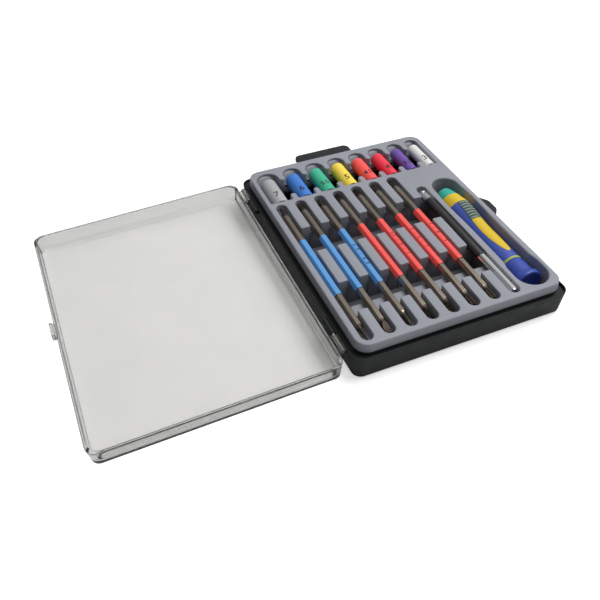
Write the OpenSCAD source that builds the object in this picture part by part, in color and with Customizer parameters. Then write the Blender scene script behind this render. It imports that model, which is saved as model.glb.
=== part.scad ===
// Precision screwdriver set: a flat hinged case with a clear lid, a moulded tray,
// eight nut sockets, seven double-ended blades, an extension bar and a handle.
// Millimetres. +X is the latch side, +Y the hang-tab side, +Z up.
// The origin is the centre of the case's underside. The lid is drawn open.

/* [Case] */
// Width of the case at its rim (X)
case_w = 125.4; // [100:0.1:200]
// Depth of the case at its rim (Y)
case_d = 162; // [120:0.1:240]
// Height of the case's rim
case_h = 14.2; // [10:0.1:30]
// How far the case's walls lean in at the bottom
case_draft = 0.9; // [0:0.1:3]
// Corner radius of the case at its rim
case_r = 6; // [3:0.1:15]
// Rounding of the case's bottom edge
case_edge = 1.6; // [0.3:0.1:3]
// Thickness of the case's floor
case_floor = 1.8; // [1:0.1:4]
// Thickness of the lip outside the lid groove
lip_t = 0.65; // [0.5:0.05:2]
// Depth of the lid groove below the rim
groove_d = 1.6; // [0.8:0.05:3]

/* [Lid] */
// Gap between the lid's rim and the case's lip
lid_gap = 0.35; // [0.1:0.05:1]
// Height of the lid, rim to top
lid_h = 9.85; // [6:0.05:30]
// Thickness of the lid's side walls
lid_wall = 1.2; // [0.8:0.1:3]
// Thickness of the lid's plate
lid_plate = 1.4; // [0.8:0.1:4]
// How far the lid's walls lean in at the top
lid_draft = 1.1; // [0:0.1:3]
// Corner radius of the lid at its rim
lid_r = 5.4; // [3:0.1:15]
// Rounding of the lid's outer top edge
lid_edge = 1; // [0.3:0.1:3]
// Width of the catch on the lid
catch_w = 10; // [5:0.5:30]
// How far the catch stands out
catch_out = 2.2; // [1.5:0.1:6]
// Height of the catch
catch_h = 3.6; // [2:0.1:8]
// How far the catch hooks below the lid's rim
catch_drop = 1.3; // [0.5:0.1:3]

/* [Hinge] */
// Distance from the case's rim to the hinge axis
hinge_out = 1.7; // [1.4:0.05:6]
// Height of the hinge axis above the lid's seat
hinge_up = 0.8; // [0.6:0.05:3]
// Outer radius of the ears and knuckles
ear_r = 1.45; // [1:0.05:5]
// Radius of the hinge pins
pin_r = 0.75; // [0.5:0.05:2]
// Radial clearance of the pins in the lid's ears
pin_gap = 0.05; // [0.02:0.01:0.1]
// Distance from the lid's end to the far end of each ear
ear_in = 8; // [6:0.1:60]
// Length of each knuckle
knuckle_len = 11; // [4:0.5:40]
// Length of each lid ear
ear_len = 12.7; // [4:0.1:40]
// Gap between a knuckle and an ear
ear_gap = 0.3; // [0.1:0.05:1]
// Height of the open lid's far edge above the table
rest_gap = 0.03; // [0:0.01:0.2]

/* [Hang tab and latch lip] */
// How far the hang tab sits off the middle
tab_x = -1.3; // [-20:0.1:20]
// Width of the hang tab
tab_w = 38.6; // [20:0.1:80]
// How far the hang tab stands out
tab_out = 15; // [8:0.1:40]
// Corner radius of the hang tab
tab_r = 4; // [1:0.1:10]
// Thickness of the tab and the lip
tab_t = 2; // [1:0.1:5]
// Width of the hang slot
hang_slot_w = 22; // [8:0.5:60]
// Height of the hang slot
hang_slot_d = 5; // [4.5:0.1:12]
// Distance from the case to the hang slot
hang_slot_in = 2.6; // [1:0.1:20]
// Width of the latch lip at its root
latch_root_w = 26; // [16:0.5:60]
// Width of the latch lip at its outer edge
latch_edge_w = 9; // [6:0.5:40]
// How far the latch lip stands out
latch_out = 7.6; // [5:0.1:20]
// How far the latch sits towards the back
latch_y = 1; // [-20:0.5:20]

/* [Tray] */
// Distance from the case's rim to the tray's top face at the sides
tray_in_x = 3.3; // [2.5:0.1:12]
// Distance from the case's rim to the tray's top face at the front and back
tray_in_y = 3.1; // [2.5:0.1:12]
// Height of the tray's top face
deck_z = 20.3; // [16:0.1:40]
// How far the tray's walls lean out down to the curb
tray_draft = 0.45; // [0:0.05:2]
// Corner radius of the tray's top
tray_r = 7; // [3:0.1:15]
// Rounding of the tray's top edge
tray_edge = 1.5; // [0.3:0.1:3]
// Thickness of the tray's moulding
tray_wall = 1.4; // [0.8:0.1:3]
// Height of the case's curb, which meets the tray's edge, above the lid's seat
curb_h = 2.5; // [1:0.1:5]
// Thickness of the curb
curb_t = 1.2; // [0.8:0.1:3]

/* [Blades] */
// Number of blades
blade_count = 7; // [1:1:7]
// Distance from the tray's side to the middle of the first slot
slot_in = 6.8; // [5:0.1:12]
// Distance from the last slot's middle to the middle of the handle's recess
recess_pitch = 15.44; // [13:0.01:25]
// Width of the slots
slot_w = 6.5; // [5:0.1:10]
// Land between the slots and the socket bays
slot_land = 2.7; // [1.5:0.1:8]
// Distance from the tray's front to the slots
slot_in_front = 3.2; // [2:0.1:8]
// Room behind a blade in its slot
blade_room_back = 1; // [0.3:0.1:5]
// Room in front of a blade in its slot
blade_room_front = 2.3; // [0.5:0.1:6]
// Width across the flats of the hexagonal bars
hex_af = 4; // [2:0.1:8]
// Length of the turned tip at each end
tip_len = 8.5; // [3:0.1:20]
// Radius of the turned tips: thin
tip_r_thin = 1.05; // [0.8:0.05:1.9]
// Radius of the turned tips: medium
tip_r_medium = 1.45; // [0.8:0.05:1.9]
// Radius of the turned tips: wide
tip_r_wide = 1.85; // [0.8:0.05:1.9]
// Radius of the points
point_r = 0.5; // [0.2:0.05:1.5]
// Length of the points
point_len = 2.6; // [1:0.1:8]
// Radius of the wide tips at their blunt ends
blunt_r = 1.1; // [0.3:0.05:1.8]
// Length of the wide tips' blunt ends
blunt_len = 1.2; // [0.4:0.1:4]
// Thickness of a flat tip
flat_t = 0.7; // [0.3:0.05:2]
// Width across the flats of the sleeves
blade_sleeve_af = 4.5; // [3:0.1:9]
// Radius of the sleeves' rounded corners
blade_sleeve_r = 2.5; // [2:0.05:6]
// Back end of the sleeves
blade_sleeve_back = 6.6; // [-20:0.1:30]
// Length of the sleeves
blade_sleeve_len = 46.6; // [20:0.1:90]
// Depth of a blade's axis below the tray's top
blade_drop = 2.4; // [1:0.1:6]

/* [Finger trenches] */
// Back edge of the back trench
trench_1_back = 15.7; // [0:0.1:40]
// Front edge of the back trench
trench_1_front = -5.1; // [-20:0.1:10]
// Back edge of the front trench
trench_2_back = -33.1; // [-60:0.1:-10]
// Front edge of the front trench
trench_2_front = -54.6; // [-70:0.1:-40]
// How far the tray's floor runs into the front trench
floor_strip = 8; // [0:0.1:12]
// Thickness of the finger trenches' floors
trench_floor_t = 1.4; // [0.8:0.1:3]

/* [Extension bar] */
// Back end of the extension slot
ext_slot_back = 25.1; // [0:0.1:60]
// Width of the extension slot
ext_slot_w = 6.2; // [5:0.1:10]
// Back end of the extension bar
ext_back = 21.5; // [0:0.1:60]
// Back end of its sleeve
ext_sleeve_back = 12.8; // [0:0.1:60]
// Length of its sleeve
ext_sleeve_len = 55; // [20:0.1:80]
// Radius of its sleeve
ext_sleeve_r = 2.6; // [2.4:0.05:5]

/* [Sockets] */
// Nut sizes of the sockets, from the hinge side
socket_af = [7, 6, 5.5, 5, 4.5, 4, 3.5, 3];
// Outer diameters of the sockets
socket_dia = [10.1, 9.5, 9.3, 9.1, 8.5, 8.3, 7.5, 7.1];
// Widths of the bays that hold them
bay_w = [14, 11.5, 11.9, 11.1, 10.6, 10.4, 9.9, 8.4];
// Distance from the tray's side to the first bay
bay_in_left = 2.7; // [2:0.1:8]
// Distance from the last bay to the tray's other side
bay_in_right = 3.8; // [2:0.1:12]
// Distance from the arches to the tray's back
bay_in_back = 4.3; // [2.5:0.1:12]
// Length of the bays, front wall to arches
bay_len = 30.2; // [26:0.1:60]
// Length of the posts between the bays
post_len = 5.5; // [3:0.1:12]
// Length of the fingers between the arches
finger_len = 9.4; // [7.5:0.1:16]
// Room in front of a socket in its bay
socket_room = 0.3; // [0.1:0.1:2]
// Length of the sockets
socket_len = 23.6; // [12:0.1:60]
// How far the sockets stand above the tray's top
socket_up = 0.5; // [0:0.1:3]
// Thickness of the coloured sleeves
socket_wall = 0.6; // [0.4:0.05:2]
// Depth of the nut end
nut_depth = 10; // [4:0.5:30]
// Depth of the drive end
drive_depth = 8; // [4:0.5:20]
// Clearance of a hexagonal hole, across the flats
hex_gap = 0.1; // [0.05:0.01:0.4]

/* [Handle] */
// Depth of the handle's axis below the tray's top
handle_drop = 7.7; // [5:0.1:14]
// Tip of the nose
nose_y = 20.6; // [0:0.1:60]
// Front of the yellow collar
collar_y = 12.2; // [0:0.1:40]
// Front of the body
body_y = 2.85; // [-10:0.05:30]
// Middle of the waist
waist_y = -22.9; // [-50:0.1:0]
// Thickness of the ring
ring_t = 1.6; // [0.5:0.1:4]
// Length of the turning cap
cap_len = 14.8; // [11:0.1:30]
// Length of the cap's straight neck
cap_neck = 9.2; // [2:0.1:11]
// Room in front of the cap in the recess
cap_room = 8.3; // [2:0.1:14]
// Radius of the nose at its tip
nose_r = 5.45; // [4:0.05:10]
// Radius where the nose meets the collar
collar_r = 6.85; // [5:0.05:12]
// Radius where the collar meets the body
body_r = 8; // [6:0.05:14]
// Radius of the waist
waist_r = 6.45; // [5:0.05:12]
// Radius of the body's end
body_end_r = 6.7; // [5:0.05:12]
// Radius of the cap's flange
flange_r = 8.2; // [6:0.05:14]
// Depth of the dish in the cap
dish_d = 1.4; // [0:0.1:4]
// Gap between the cap and the ring
cap_gap = 0.2; // [0.1:0.05:1]
// Angle of the first grip pad from +X
pad_angle = 80; // [0:1:120]
// Half the angle that a grip pad covers at its front
pad_half_front = 27; // [10:1:50]
// Half the angle that a grip pad covers at its back
pad_half_back = 36; // [10:1:50]
// Half the angle that an inlay covers
leaf_half = 38; // [10:1:50]
// Number of grip pads
pad_count = 3; // [1:1:4]
// Back end of the ribbed pads
pad_end = -13.4; // [-40:0.1:0]
// Number of ribs on a pad
rib_count = 7; // [3:1:16]
// Height of the ribs
rib_h = 0.3; // [0.1:0.05:1]
// Depth of the pads and inlays in the body
pad_d = 0.9; // [0.4:0.1:2]
// Distance from an inlay's tip to the body's end
inlay_in = 4.6; // [1:0.1:20]
// Radius of the steel bit socket
bit_r = 3.3; // [2.6:0.05:5]
// Length of the steel bit socket
bit_len = 33; // [15:0.5:60]
// Depth of its hexagonal hole
bit_depth = 26; // [8:0.5:50]
// Length of the magnet at the bottom of the hole
magnet_len = 3; // [1:0.5:10]
// Radius of the cap's pin
cap_pin_r = 1.5; // [1:0.05:3]
// Radial clearance of the cap on its pin
cap_pin_gap = 0.05; // [0.02:0.01:0.1]
// Length of the pin inside the body
cap_pin_in = 14; // [4:0.5:30]
// Radius of the pin's head
cap_head_r = 2.8; // [2:0.05:5]
// Thickness of the pin's head
cap_head_t = 1.5; // [0.8:0.1:4]

/* [Handle recess] */
// Distance from the tray's side to the middle of the recess
recess_in_x = 12; // [10:0.1:20]
// Room behind the nose in the recess
nose_room = 7.3; // [2:0.1:12]
// Distance from the tray's front to the recess
recess_in_front = 3.7; // [2:0.1:8]
// Half the width beside the nose
recess_nose = 8.1; // [6:0.1:14]
// Half the width beside the shoulder
recess_shoulder = 8.8; // [7:0.1:16]
// Half the width beside the waist
recess_waist = 8.1; // [6:0.1:14]
// Half the width beside the cap
recess_cap = 9.3; // [7:0.1:16]
// Length over which the recess widens towards the cap
recess_step = 7.4; // [2:0.1:12]

/* [Hidden] */
$fn = 64;
corner_fn = 40;
seat_gap = 0.1;
catch_gap = 0.3;
catch_root = 0.6;
inlay_up = 0.1;
pin_wall = 1;
nub = 1;
ear_wall = 0.7;
curb_in = 0.1;
plug_gap = 0.2;
core_in = 0.2;
tube_in = 0.3;
bar_chamfer = 0.8;
sleeve_chamfer = 0.4;
rim_step = 0.2;
eps = 0.01;
cos30 = cos(30);

case_hx = case_w / 2;
case_hy = case_d / 2;
ledge_z = case_h - groove_d;
lid_seat = 0.05;
rim_z = ledge_z + lid_seat;
lid_hx = case_hx - lip_t - lid_gap;
lid_hy = case_hy - lip_t - lid_gap;
lid_top = rim_z + lid_h;
hinge_x = -(case_hx + hinge_out);
hinge_z = ledge_z + hinge_up;
ear_y = lid_hy - ear_in - ear_len;
knuckle_y = ear_y - ear_gap - knuckle_len;
// the open lid lies on its far edge
lid_far = lid_hx - lid_draft - lid_edge - hinge_x;
lid_fall = 2 * hinge_z - lid_top - rest_gap;
lid_tilt = asin(lid_fall / lid_far);
lid_open = -(180 + lid_tilt);

tray_hx = case_hx - tray_in_x;
tray_hy = case_hy - tray_in_y;
skirt_hx = tray_hx + tray_draft;
skirt_hy = tray_hy + tray_draft;
skirt_r = tray_r + tray_draft;
curb_z = ledge_z + curb_h;
skirt_z = curb_z + lid_seat;
curb_hx = skirt_hx - curb_in;
curb_hy = skirt_hy - curb_in;
curb_r = skirt_r - curb_in;
well_hx = curb_hx - curb_t;
well_hy = curb_hy - curb_t;
well_r = curb_r - curb_t;
plug_hx = well_hx - plug_gap;
plug_hy = well_hy - plug_gap;
plug_r = well_r - plug_gap;

deck_mid_z = deck_z - tray_wall / 2;
blade_z = deck_z - blade_drop;
slot_floor = blade_z - blade_sleeve_af / 2 - seat_gap;
slab_z = slot_floor - tray_wall;
trench_floor_z = case_floor + trench_floor_t;
bay_x0 = -tray_hx + bay_in_left;
bay_end = tray_hx - bay_in_right;
bay_count = len(bay_w);
post_w = (bay_end - bay_x0 - sum_to(bay_w, bay_count)) / (bay_count - 1);
bay_back = tray_hy - bay_in_back;
bay_front = bay_back - bay_len;
post_back = bay_front + post_len;
finger_front = bay_back - finger_len;
socket_front = bay_front + socket_room;
slot_front = -tray_hy + slot_in_front;
slot_back = bay_front - slot_land;
blade_back = slot_back - blade_room_back;
blade_front = slot_front + blade_room_front;
recess_x = tray_hx - recess_in_x;
recess_back = nose_y + nose_room;
recess_front = -tray_hy + recess_in_front;
slot_x0 = -tray_hx + slot_in;
slot_pitch = (recess_x - recess_pitch - slot_x0) / blade_count;
ext_x = slot_x0 + slot_pitch * blade_count;
ext_z = slot_floor + seat_gap + ext_sleeve_r;
trench_left = slot_x0 - slot_w / 2;
trench_right = ext_x + ext_slot_w / 2;

bay_x = [for (i = [0:bay_count - 1]) bay_x0 + i * post_w + sum_to(bay_w, i) + bay_w[i] / 2];
bay_block_z = deck_z + socket_up - max(socket_dia) - seat_gap - tray_wall;

handle_x = recess_x;
handle_z = deck_z - handle_drop;
recess_floor = handle_z - flange_r - seat_gap;
cap_end = recess_front + cap_room;
cap_y = cap_end + cap_len;
body_end = cap_y + cap_gap + ring_t;
inlay_tip = body_end + inlay_in;
nose_round = 0.6;
cap_round = 0.6;
flange_t = 2;
cap_web = 2;
pin_head_y = cap_end + dish_d + cap_web + cap_head_t;

function sum_to(v, n) = n <= 0 ? 0 : v[n - 1] + sum_to(v, n - 1);
function ease(a, b, t) = a + (b - a) * (1 - cos(180 * t)) / 2;
function blend(y, y0, r0, y1, r1) = ease(r0, r1, (y - y0) / (y1 - y0));

// Outer radius of the handle's body at y
function body_rad(y) = y > waist_y
    ? blend(y, body_y, body_r, waist_y, waist_r)
    : blend(y, waist_y, waist_r, body_end, body_end_r);

// Half the width of the handle's recess at y
recess_y1 = body_y + 1;
recess_y2 = waist_y;
recess_y3 = cap_y;
recess_y4 = cap_y - recess_step;
function recess_half(y) = y > recess_y1 ? blend(y, nose_y, recess_nose, recess_y1, recess_shoulder)
    : y > recess_y2 ? blend(y, recess_y1, recess_shoulder, recess_y2, recess_waist)
    : y > recess_y3 ? recess_waist
    : blend(y, recess_y3, recess_waist, recess_y4, recess_cap);

// A cylinder or prism along +Y, starting at y
module along_y(x, y, z, len, r, sides = 64) {
    translate([x, y, z]) rotate([-90, 0, 0]) cylinder(h = len, r = r, $fn = sides);
}

// A hexagonal bar along +Y with flats at the top and bottom
module hex_bar(x, y, z, len, af) {
    translate([x, y, z]) rotate([-90, 0, 0]) cylinder(h = len, r = af / 2 / cos30, $fn = 6);
}

// A turned shape along +Y: points are [radius, y]
module turned(x, z, points) {
    translate([x, 0, z]) rotate([-90, 0, 0]) rotate_extrude() polygon(points);
}

// A rounded rectangle made of squares and circles
module plate_2d(hx, hy, r) {
    square([2 * hx, 2 * (hy - r)], center = true);
    square([2 * (hx - r), 2 * hy], center = true);
    for (sx = [-1, 1], sy = [-1, 1])
        translate([sx * (hx - r), sy * (hy - r)]) circle(r = r);
}

// A box with leaning walls, round corners and one rounded edge.
// hx, hy, r hold at the wide end; the narrow end is in by draft.
module shell_body(hx, hy, r, z_wide, z_narrow, draft, edge) {
    up = z_narrow > z_wide ? 1 : -1;
    rn = r - draft;
    steps = 5;
    arc = [for (i = [0:steps]) [rn - edge + edge * cos(90 * i / steps),
        z_narrow - up * edge * (1 - sin(90 * i / steps))]];
    hull()
        for (sx = [-1, 1], sy = [-1, 1])
            translate([sx * (hx - r), sy * (hy - r), 0])
                rotate_extrude($fn = corner_fn)
                    polygon(concat([[0, z_wide], [r, z_wide]], arc, [[0, z_narrow]]));
}

// The black case: lid groove, tray curb, hinge knuckles, hang tab and latch lip
module base_case() {
    color("#232325")
    difference() {
        union() {
            case_outside();
            translate([0, 0, ledge_z - curb_t])
                linear_extrude(curb_h + curb_t) plate_2d(curb_hx, curb_hy, curb_r);
        }
        translate([0, 0, case_floor])
            linear_extrude(2 * case_h) plate_2d(well_hx, well_hy, well_r);
        for (s = [-1, 1])
            along_y(hinge_x, s > 0 ? knuckle_y + pin_wall : -(knuckle_y + knuckle_len) - eps,
                hinge_z, knuckle_len - pin_wall + eps, pin_r);
    }
}

// The case without its curb and well
module case_outside() {
    difference() {
        union() {
            shell_body(case_hx, case_hy, case_r, case_h, 0, case_draft, case_edge);
            knuckles();
            hang_tab();
            latch_lip();
        }
        translate([0, 0, ledge_z])
            linear_extrude(case_h) plate_2d(case_hx - lip_t, case_hy - lip_t, case_r - lip_t);
        // where the lid's catch drops in
        translate([lid_hx - catch_root - catch_gap, latch_y - catch_w / 2 - catch_gap,
            rim_z - catch_drop - catch_gap])
            cube([catch_out + catch_root + 2 * catch_gap, catch_w + 2 * catch_gap, case_h]);
        // notches in the lip for the lid's ears
        for (s = [-1, 1])
            translate([-case_hx - nub, (s > 0 ? ear_y : -ear_y - ear_len) - ear_gap,
                hinge_z - 2 * seat_gap])
                cube([nub + lip_t + eps, ear_len + 2 * ear_gap, case_h]);
    }
}

module knuckles() {
    for (s = [-1, 1]) {
        y0 = s > 0 ? knuckle_y : -(knuckle_y + knuckle_len);
        along_y(hinge_x, y0, hinge_z, knuckle_len, ear_r);
        translate([hinge_x, y0, hinge_z - ear_r])
            cube([hinge_out + lip_t / 2, knuckle_len, ear_r]);
    }
}

module hang_tab() {
    root = case_hy - lip_t;
    far = case_hy + tab_out;
    translate([tab_x, 0, ledge_z - tab_t])
        linear_extrude(tab_t)
            difference() {
                union() {
                    translate([-tab_w / 2, root - lip_t]) square([tab_w, far - tab_r - root + lip_t]);
                    translate([-tab_w / 2 + tab_r, root]) square([tab_w - 2 * tab_r, far - root]);
                    for (s = [-1, 1])
                        translate([s * (tab_w / 2 - tab_r), far - tab_r]) circle(r = tab_r);
                }
                translate([0, case_hy + hang_slot_in + hang_slot_d / 2]) {
                    square([hang_slot_w - hang_slot_d, hang_slot_d], center = true);
                    for (s = [-1, 1])
                        translate([s * (hang_slot_w - hang_slot_d) / 2, 0]) circle(d = hang_slot_d);
                }
            }
}

module latch_lip() {
    x0 = case_hx - lip_t - nub;
    x1 = case_hx + latch_out;
    translate([0, latch_y, ledge_z - tab_t])
        linear_extrude(tab_t)
            polygon([[x0, -latch_root_w / 2], [case_hx + nub, -latch_root_w / 2],
                [x1 - nub, -latch_edge_w / 2 - nub], [x1, -latch_edge_w / 2],
                [x1, latch_edge_w / 2], [x1 - nub, latch_edge_w / 2 + nub],
                [case_hx + nub, latch_root_w / 2], [x0, latch_root_w / 2]]);
}

// The grey tray: a deck on a skirt, and a plug that stands in the case's well
module tool_tray() {
    color("#a5a6ab")
    difference() {
        union() {
            tray_shell();
            intersection() {
                translate([0, 0, case_floor])
                    linear_extrude(deck_mid_z - case_floor) plate_2d(plug_hx, plug_hy, plug_r);
                pocket_blocks();
            }
        }
        blade_slots();
        socket_bays();
        translate([0, 0, recess_floor]) linear_extrude(deck_z) recess_2d(0);
    }
}

// The tray's walls and deck, open underneath
module tray_shell() {
    difference() {
        union() {
            shell_body(skirt_hx, skirt_hy, skirt_r, skirt_z, deck_z, tray_draft, tray_edge);
            translate([0, 0, case_floor])
                linear_extrude(skirt_z - case_floor + eps) plate_2d(plug_hx, plug_hy, plug_r);
        }
        translate([0, 0, case_floor - 1])
            linear_extrude(deck_z - tray_wall - case_floor + 1)
                plate_2d(plug_hx - tray_wall, plug_hy - tray_wall, plug_r - tray_wall);
        translate([0, 0, skirt_z + tray_wall])
            linear_extrude(deck_z - skirt_z - 2 * tray_wall)
                plate_2d(tray_hx - tray_wall, tray_hy - tray_wall, tray_r - tray_wall);
    }
}

// Solid blocks under the deck, which the pockets are cut into
module pocket_blocks() {
    // slab that holds the slots
    translate([trench_left - tray_wall, slot_front - tray_wall, slab_z])
        cube([trench_right - trench_left + 2 * tray_wall,
            slot_back - slot_front + 2 * tray_wall, deck_z - slab_z]);
    // blocks that the finger trenches are cut into
    trench_block(trench_1_back, trench_1_front);
    trench_block(trench_2_back, trench_2_front + floor_strip);
    // block that holds the bays
    translate([bay_x0 - tray_wall, bay_front - tray_wall, bay_block_z])
        cube([bay_end - bay_x0 + 2 * tray_wall,
            bay_back - bay_front + 2 * tray_wall, deck_z - bay_block_z]);
    translate([0, 0, recess_floor - tray_wall])
        linear_extrude(deck_z - recess_floor + tray_wall) recess_2d(tray_wall);
}

module trench_block(back, front) {
    translate([trench_left - tray_wall, front - tray_wall, case_floor])
        cube([trench_right - trench_left + 2 * tray_wall,
            back - front + 2 * tray_wall, deck_z - case_floor]);
}

module slot_2d(x, back, w) {
    translate([x - w / 2, slot_front + w / 2]) square([w, back - slot_front - w]);
    translate([x, slot_front + w / 2]) circle(d = w);
    translate([x, back - w / 2]) circle(d = w);
}

module blade_slots() {
    translate([0, 0, slot_floor])
        linear_extrude(deck_z) {
            for (i = [0:blade_count - 1])
                slot_2d(slot_x0 + i * slot_pitch, slot_back, slot_w);
            slot_2d(ext_x, ext_slot_back, ext_slot_w);
        }
    trench_len = trench_right - trench_left;
    translate([trench_left, trench_1_front, trench_floor_z])
        cube([trench_len, trench_1_back - trench_1_front, 2 * deck_z]);
    translate([trench_left, trench_2_front + floor_strip, trench_floor_z])
        cube([trench_len, trench_2_back - trench_2_front - floor_strip, 2 * deck_z]);
    translate([trench_left, trench_2_front, slot_floor])
        cube([trench_len, floor_strip + eps, 2 * deck_z]);
}

module socket_bays() {
    for (i = [0:bay_count - 1]) {
        w = bay_w[i];
        translate([bay_x[i], 0, deck_z + socket_up - socket_dia[i] - seat_gap])
            linear_extrude(deck_z) {
                translate([-w / 2, bay_front]) square([w, bay_back - w / 2 - bay_front]);
                translate([0, bay_back - w / 2]) circle(d = w);
            }
    }
    // cross trench, open to the case's floor
    translate([bay_x0, post_back, 0])
        cube([bay_end - bay_x0, finger_front - post_back, 2 * deck_z]);
}

// Outline of the handle's recess, grown by g
module recess_2d(g) {
    n = 48;
    cap_half = recess_cap + g;
    y_low = recess_front - g + cap_half;
    y_high = recess_back + g - recess_nose - g;
    ys = [for (i = [0:n]) y_low + (y_high - y_low) * i / n];
    right = [for (y = ys) [recess_x + half_at(y) + g, y]];
    left = [for (i = [0:n]) [recess_x - half_at(ys[n - i]) - g, ys[n - i]]];
    polygon(concat(right, left));
    translate([recess_x, y_low]) circle(r = cap_half);
    translate([recess_x, y_high]) circle(r = recess_nose + g);
}
function half_at(y) = y > nose_y ? recess_nose
    : y < recess_y4 ? recess_cap
    : recess_half(y);

// The clear lid, drawn closed and then turned open
module lid() {
    color("#dfe3e5", 0.35)
    translate([hinge_x, 0, hinge_z]) rotate([0, lid_open, 0]) translate([-hinge_x, 0, -hinge_z])
    difference() {
        union() {
            difference() {
                shell_body(lid_hx, lid_hy, lid_r, rim_z, lid_top, lid_draft, lid_edge);
                shell_body(lid_hx - lid_wall, lid_hy - lid_wall, lid_r - lid_wall,
                    rim_z - eps, lid_top - lid_plate, lid_draft, lid_edge * 0.4);
            }
            lid_ears();
            lid_catch();
        }
        for (s = [-1, 1]) {
            y0 = s > 0 ? ear_y - pin_wall : -(ear_y + ear_len) + ear_wall;
            along_y(hinge_x, y0, hinge_z, ear_len - ear_wall + pin_wall, pin_r + pin_gap);
        }
    }
}

module lid_ears() {
    for (s = [-1, 1]) {
        y0 = s > 0 ? ear_y : -(ear_y + ear_len);
        along_y(hinge_x, y0, hinge_z, ear_len, ear_r);
        // web, clear of the knuckles' webs below it
        translate([hinge_x, y0, hinge_z + seat_gap])
            cube([-lid_hx + lid_wall / 2 - hinge_x, ear_len, ear_r - seat_gap]);
    }
}

module lid_catch() {
    translate([lid_hx - catch_root, latch_y - catch_w / 2, rim_z - catch_drop])
        cube([catch_out + catch_root, catch_w, catch_h]);
}

// Steel pins, held in the knuckles and free in the ears
module hinge_pins() {
    color("#8c8c90")
    for (s = [-1, 1]) {
        y0 = knuckle_y + pin_wall;
        len = ear_y + ear_len - ear_wall - tube_in - y0;
        along_y(hinge_x, s > 0 ? y0 : -y0 - len, hinge_z, len, pin_r);
    }
}

// A coloured sleeve with chamfered ends
module socket_sleeve(i) {
    r = socket_dia[i] / 2;
    c = sleeve_chamfer;
    bore = r - socket_wall;
    y0 = socket_front;
    y1 = socket_front + socket_len;
    turned(bay_x[i], deck_z + socket_up - r,
        [[bore, y0], [r - c, y0], [r, y0 + c], [r, y1 - c], [r - c, y1], [bore, y1]]);
}

// A steel core with a nut end and a drive end
module socket_core(i) {
    r = socket_dia[i] / 2;
    z = deck_z + socket_up - r;
    y0 = socket_front + core_in;
    len = socket_len - 2 * core_in;
    color("#9a9a9e")
    difference() {
        along_y(bay_x[i], y0, z, len, r - socket_wall);
        hex_bar(bay_x[i], y0 - 1, z, nut_depth + 1, socket_af[i] + hex_gap);
        hex_bar(bay_x[i], y0 + len - drive_depth, z, drive_depth + 1, hex_af + hex_gap);
    }
}

// A double-ended hexagonal blade; flat tips on the first three, points on the rest
module blade(i) {
    x = slot_x0 + i * slot_pitch;
    y0 = blade_front + tip_len;
    y1 = blade_back - tip_len;
    color("#5b5048") {
        hex_bar(x, y0, blade_z, y1 - y0, hex_af);
        blade_tip(x, y0, -1, i);
        blade_tip(x, y1, 1, i);
    }
}

// The first blade has a thin point, the second is flat, the third has a medium point, the rest are blunt
module blade_tip(x, y, dir, i) {
    translate([x, y, blade_z])
        rotate([-90 * dir, 0, 0])
            if (i == 0) pointed_tip(tip_r_thin, point_len, point_r);
            else if (i == 1) flat_tip(tip_r_wide);
            else if (i == 2) pointed_tip(tip_r_medium, point_len, point_r);
            else pointed_tip(tip_r_wide, blunt_len, blunt_r);
}

module pointed_tip(r, end_len, end_r) {
    neck = tip_len - end_len;
    translate([0, 0, -eps]) cylinder(h = neck + eps, r = r);
    translate([0, 0, neck - eps]) cylinder(h = end_len + eps, r1 = r, r2 = end_r);
}

module flat_tip(r) {
    neck = tip_len - point_len;
    translate([0, 0, -eps]) cylinder(h = neck + eps, r = r);
    intersection() {
        translate([0, 0, neck - eps]) cylinder(h = point_len + eps, r = r);
        translate([0, 0, neck + point_len / 2])
            cube([3 * r, flat_t, point_len + 2], center = true);
    }
}

module blade_sleeve(i) {
    x = slot_x0 + i * slot_pitch;
    y0 = blade_sleeve_back - blade_sleeve_len;
    difference() {
        intersection() {
            hex_bar(x, y0, blade_z, blade_sleeve_len, blade_sleeve_af);
            along_y(x, y0, blade_z, blade_sleeve_len, blade_sleeve_r);
        }
        hex_bar(x, y0 - 1, blade_z, blade_sleeve_len + 2, hex_af);
    }
}

// Hexagonal bar that carries the sockets on the handle
module extension_bar() {
    color("#c4c4c8") {
        hex_bar(ext_x, blade_front, ext_z, ext_back - blade_front - bar_chamfer, hex_af);
        translate([ext_x, ext_back - bar_chamfer - eps, ext_z])
            rotate([-90, 0, 0])
                cylinder(h = bar_chamfer + eps, r1 = hex_af / 2, r2 = hex_af / 2 - bar_chamfer / 2);
    }
}

module extension_sleeve() {
    y0 = ext_sleeve_back - ext_sleeve_len;
    color("#1d1d1f")
    difference() {
        along_y(ext_x, y0, ext_z, ext_sleeve_len, ext_sleeve_r);
        hex_bar(ext_x, y0 - 1, ext_z, ext_sleeve_len + 2, hex_af);
    }
}

// Soft nose at the front of the handle
module handle_nose() {
    color("#28af96")
    turned(handle_x, handle_z, concat(
        [[bit_r, nose_y], [nose_r - nose_round, nose_y], [nose_r, nose_y - nose_round]],
        [for (i = [1:6]) let (t = i / 6)
            [nose_r + (collar_r - nose_r) * t, nose_y - nose_round
                + (collar_y - nose_y + nose_round) * t]],
        [[bit_r, collar_y]]));
}

module handle_collar() {
    color("#e6c328")
    turned(handle_x, handle_z, concat(
        [[bit_r, collar_y], [collar_r + rim_step / 2, collar_y]],
        [for (i = [0:8]) let (y = collar_y - rim_step + (body_y - collar_y + rim_step) * i / 8)
            [blend(y, collar_y, collar_r + rim_step, body_y, body_r), y]],
        [[bit_r, body_y]]));
}

// Turned outline of the body, grown by g, at fixed places along it
stations = 20;
function station(i) = body_y + (body_end - body_y) * i / stations;
function body_line(g) = [for (i = [0:stations]) [body_rad(station(i)) + g, station(i)]];

// The body's shape, grown by g
module body_form(g) {
    turned(handle_x, handle_z, concat([[0, body_y]], body_line(g), [[0, body_end]]));
}

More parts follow.
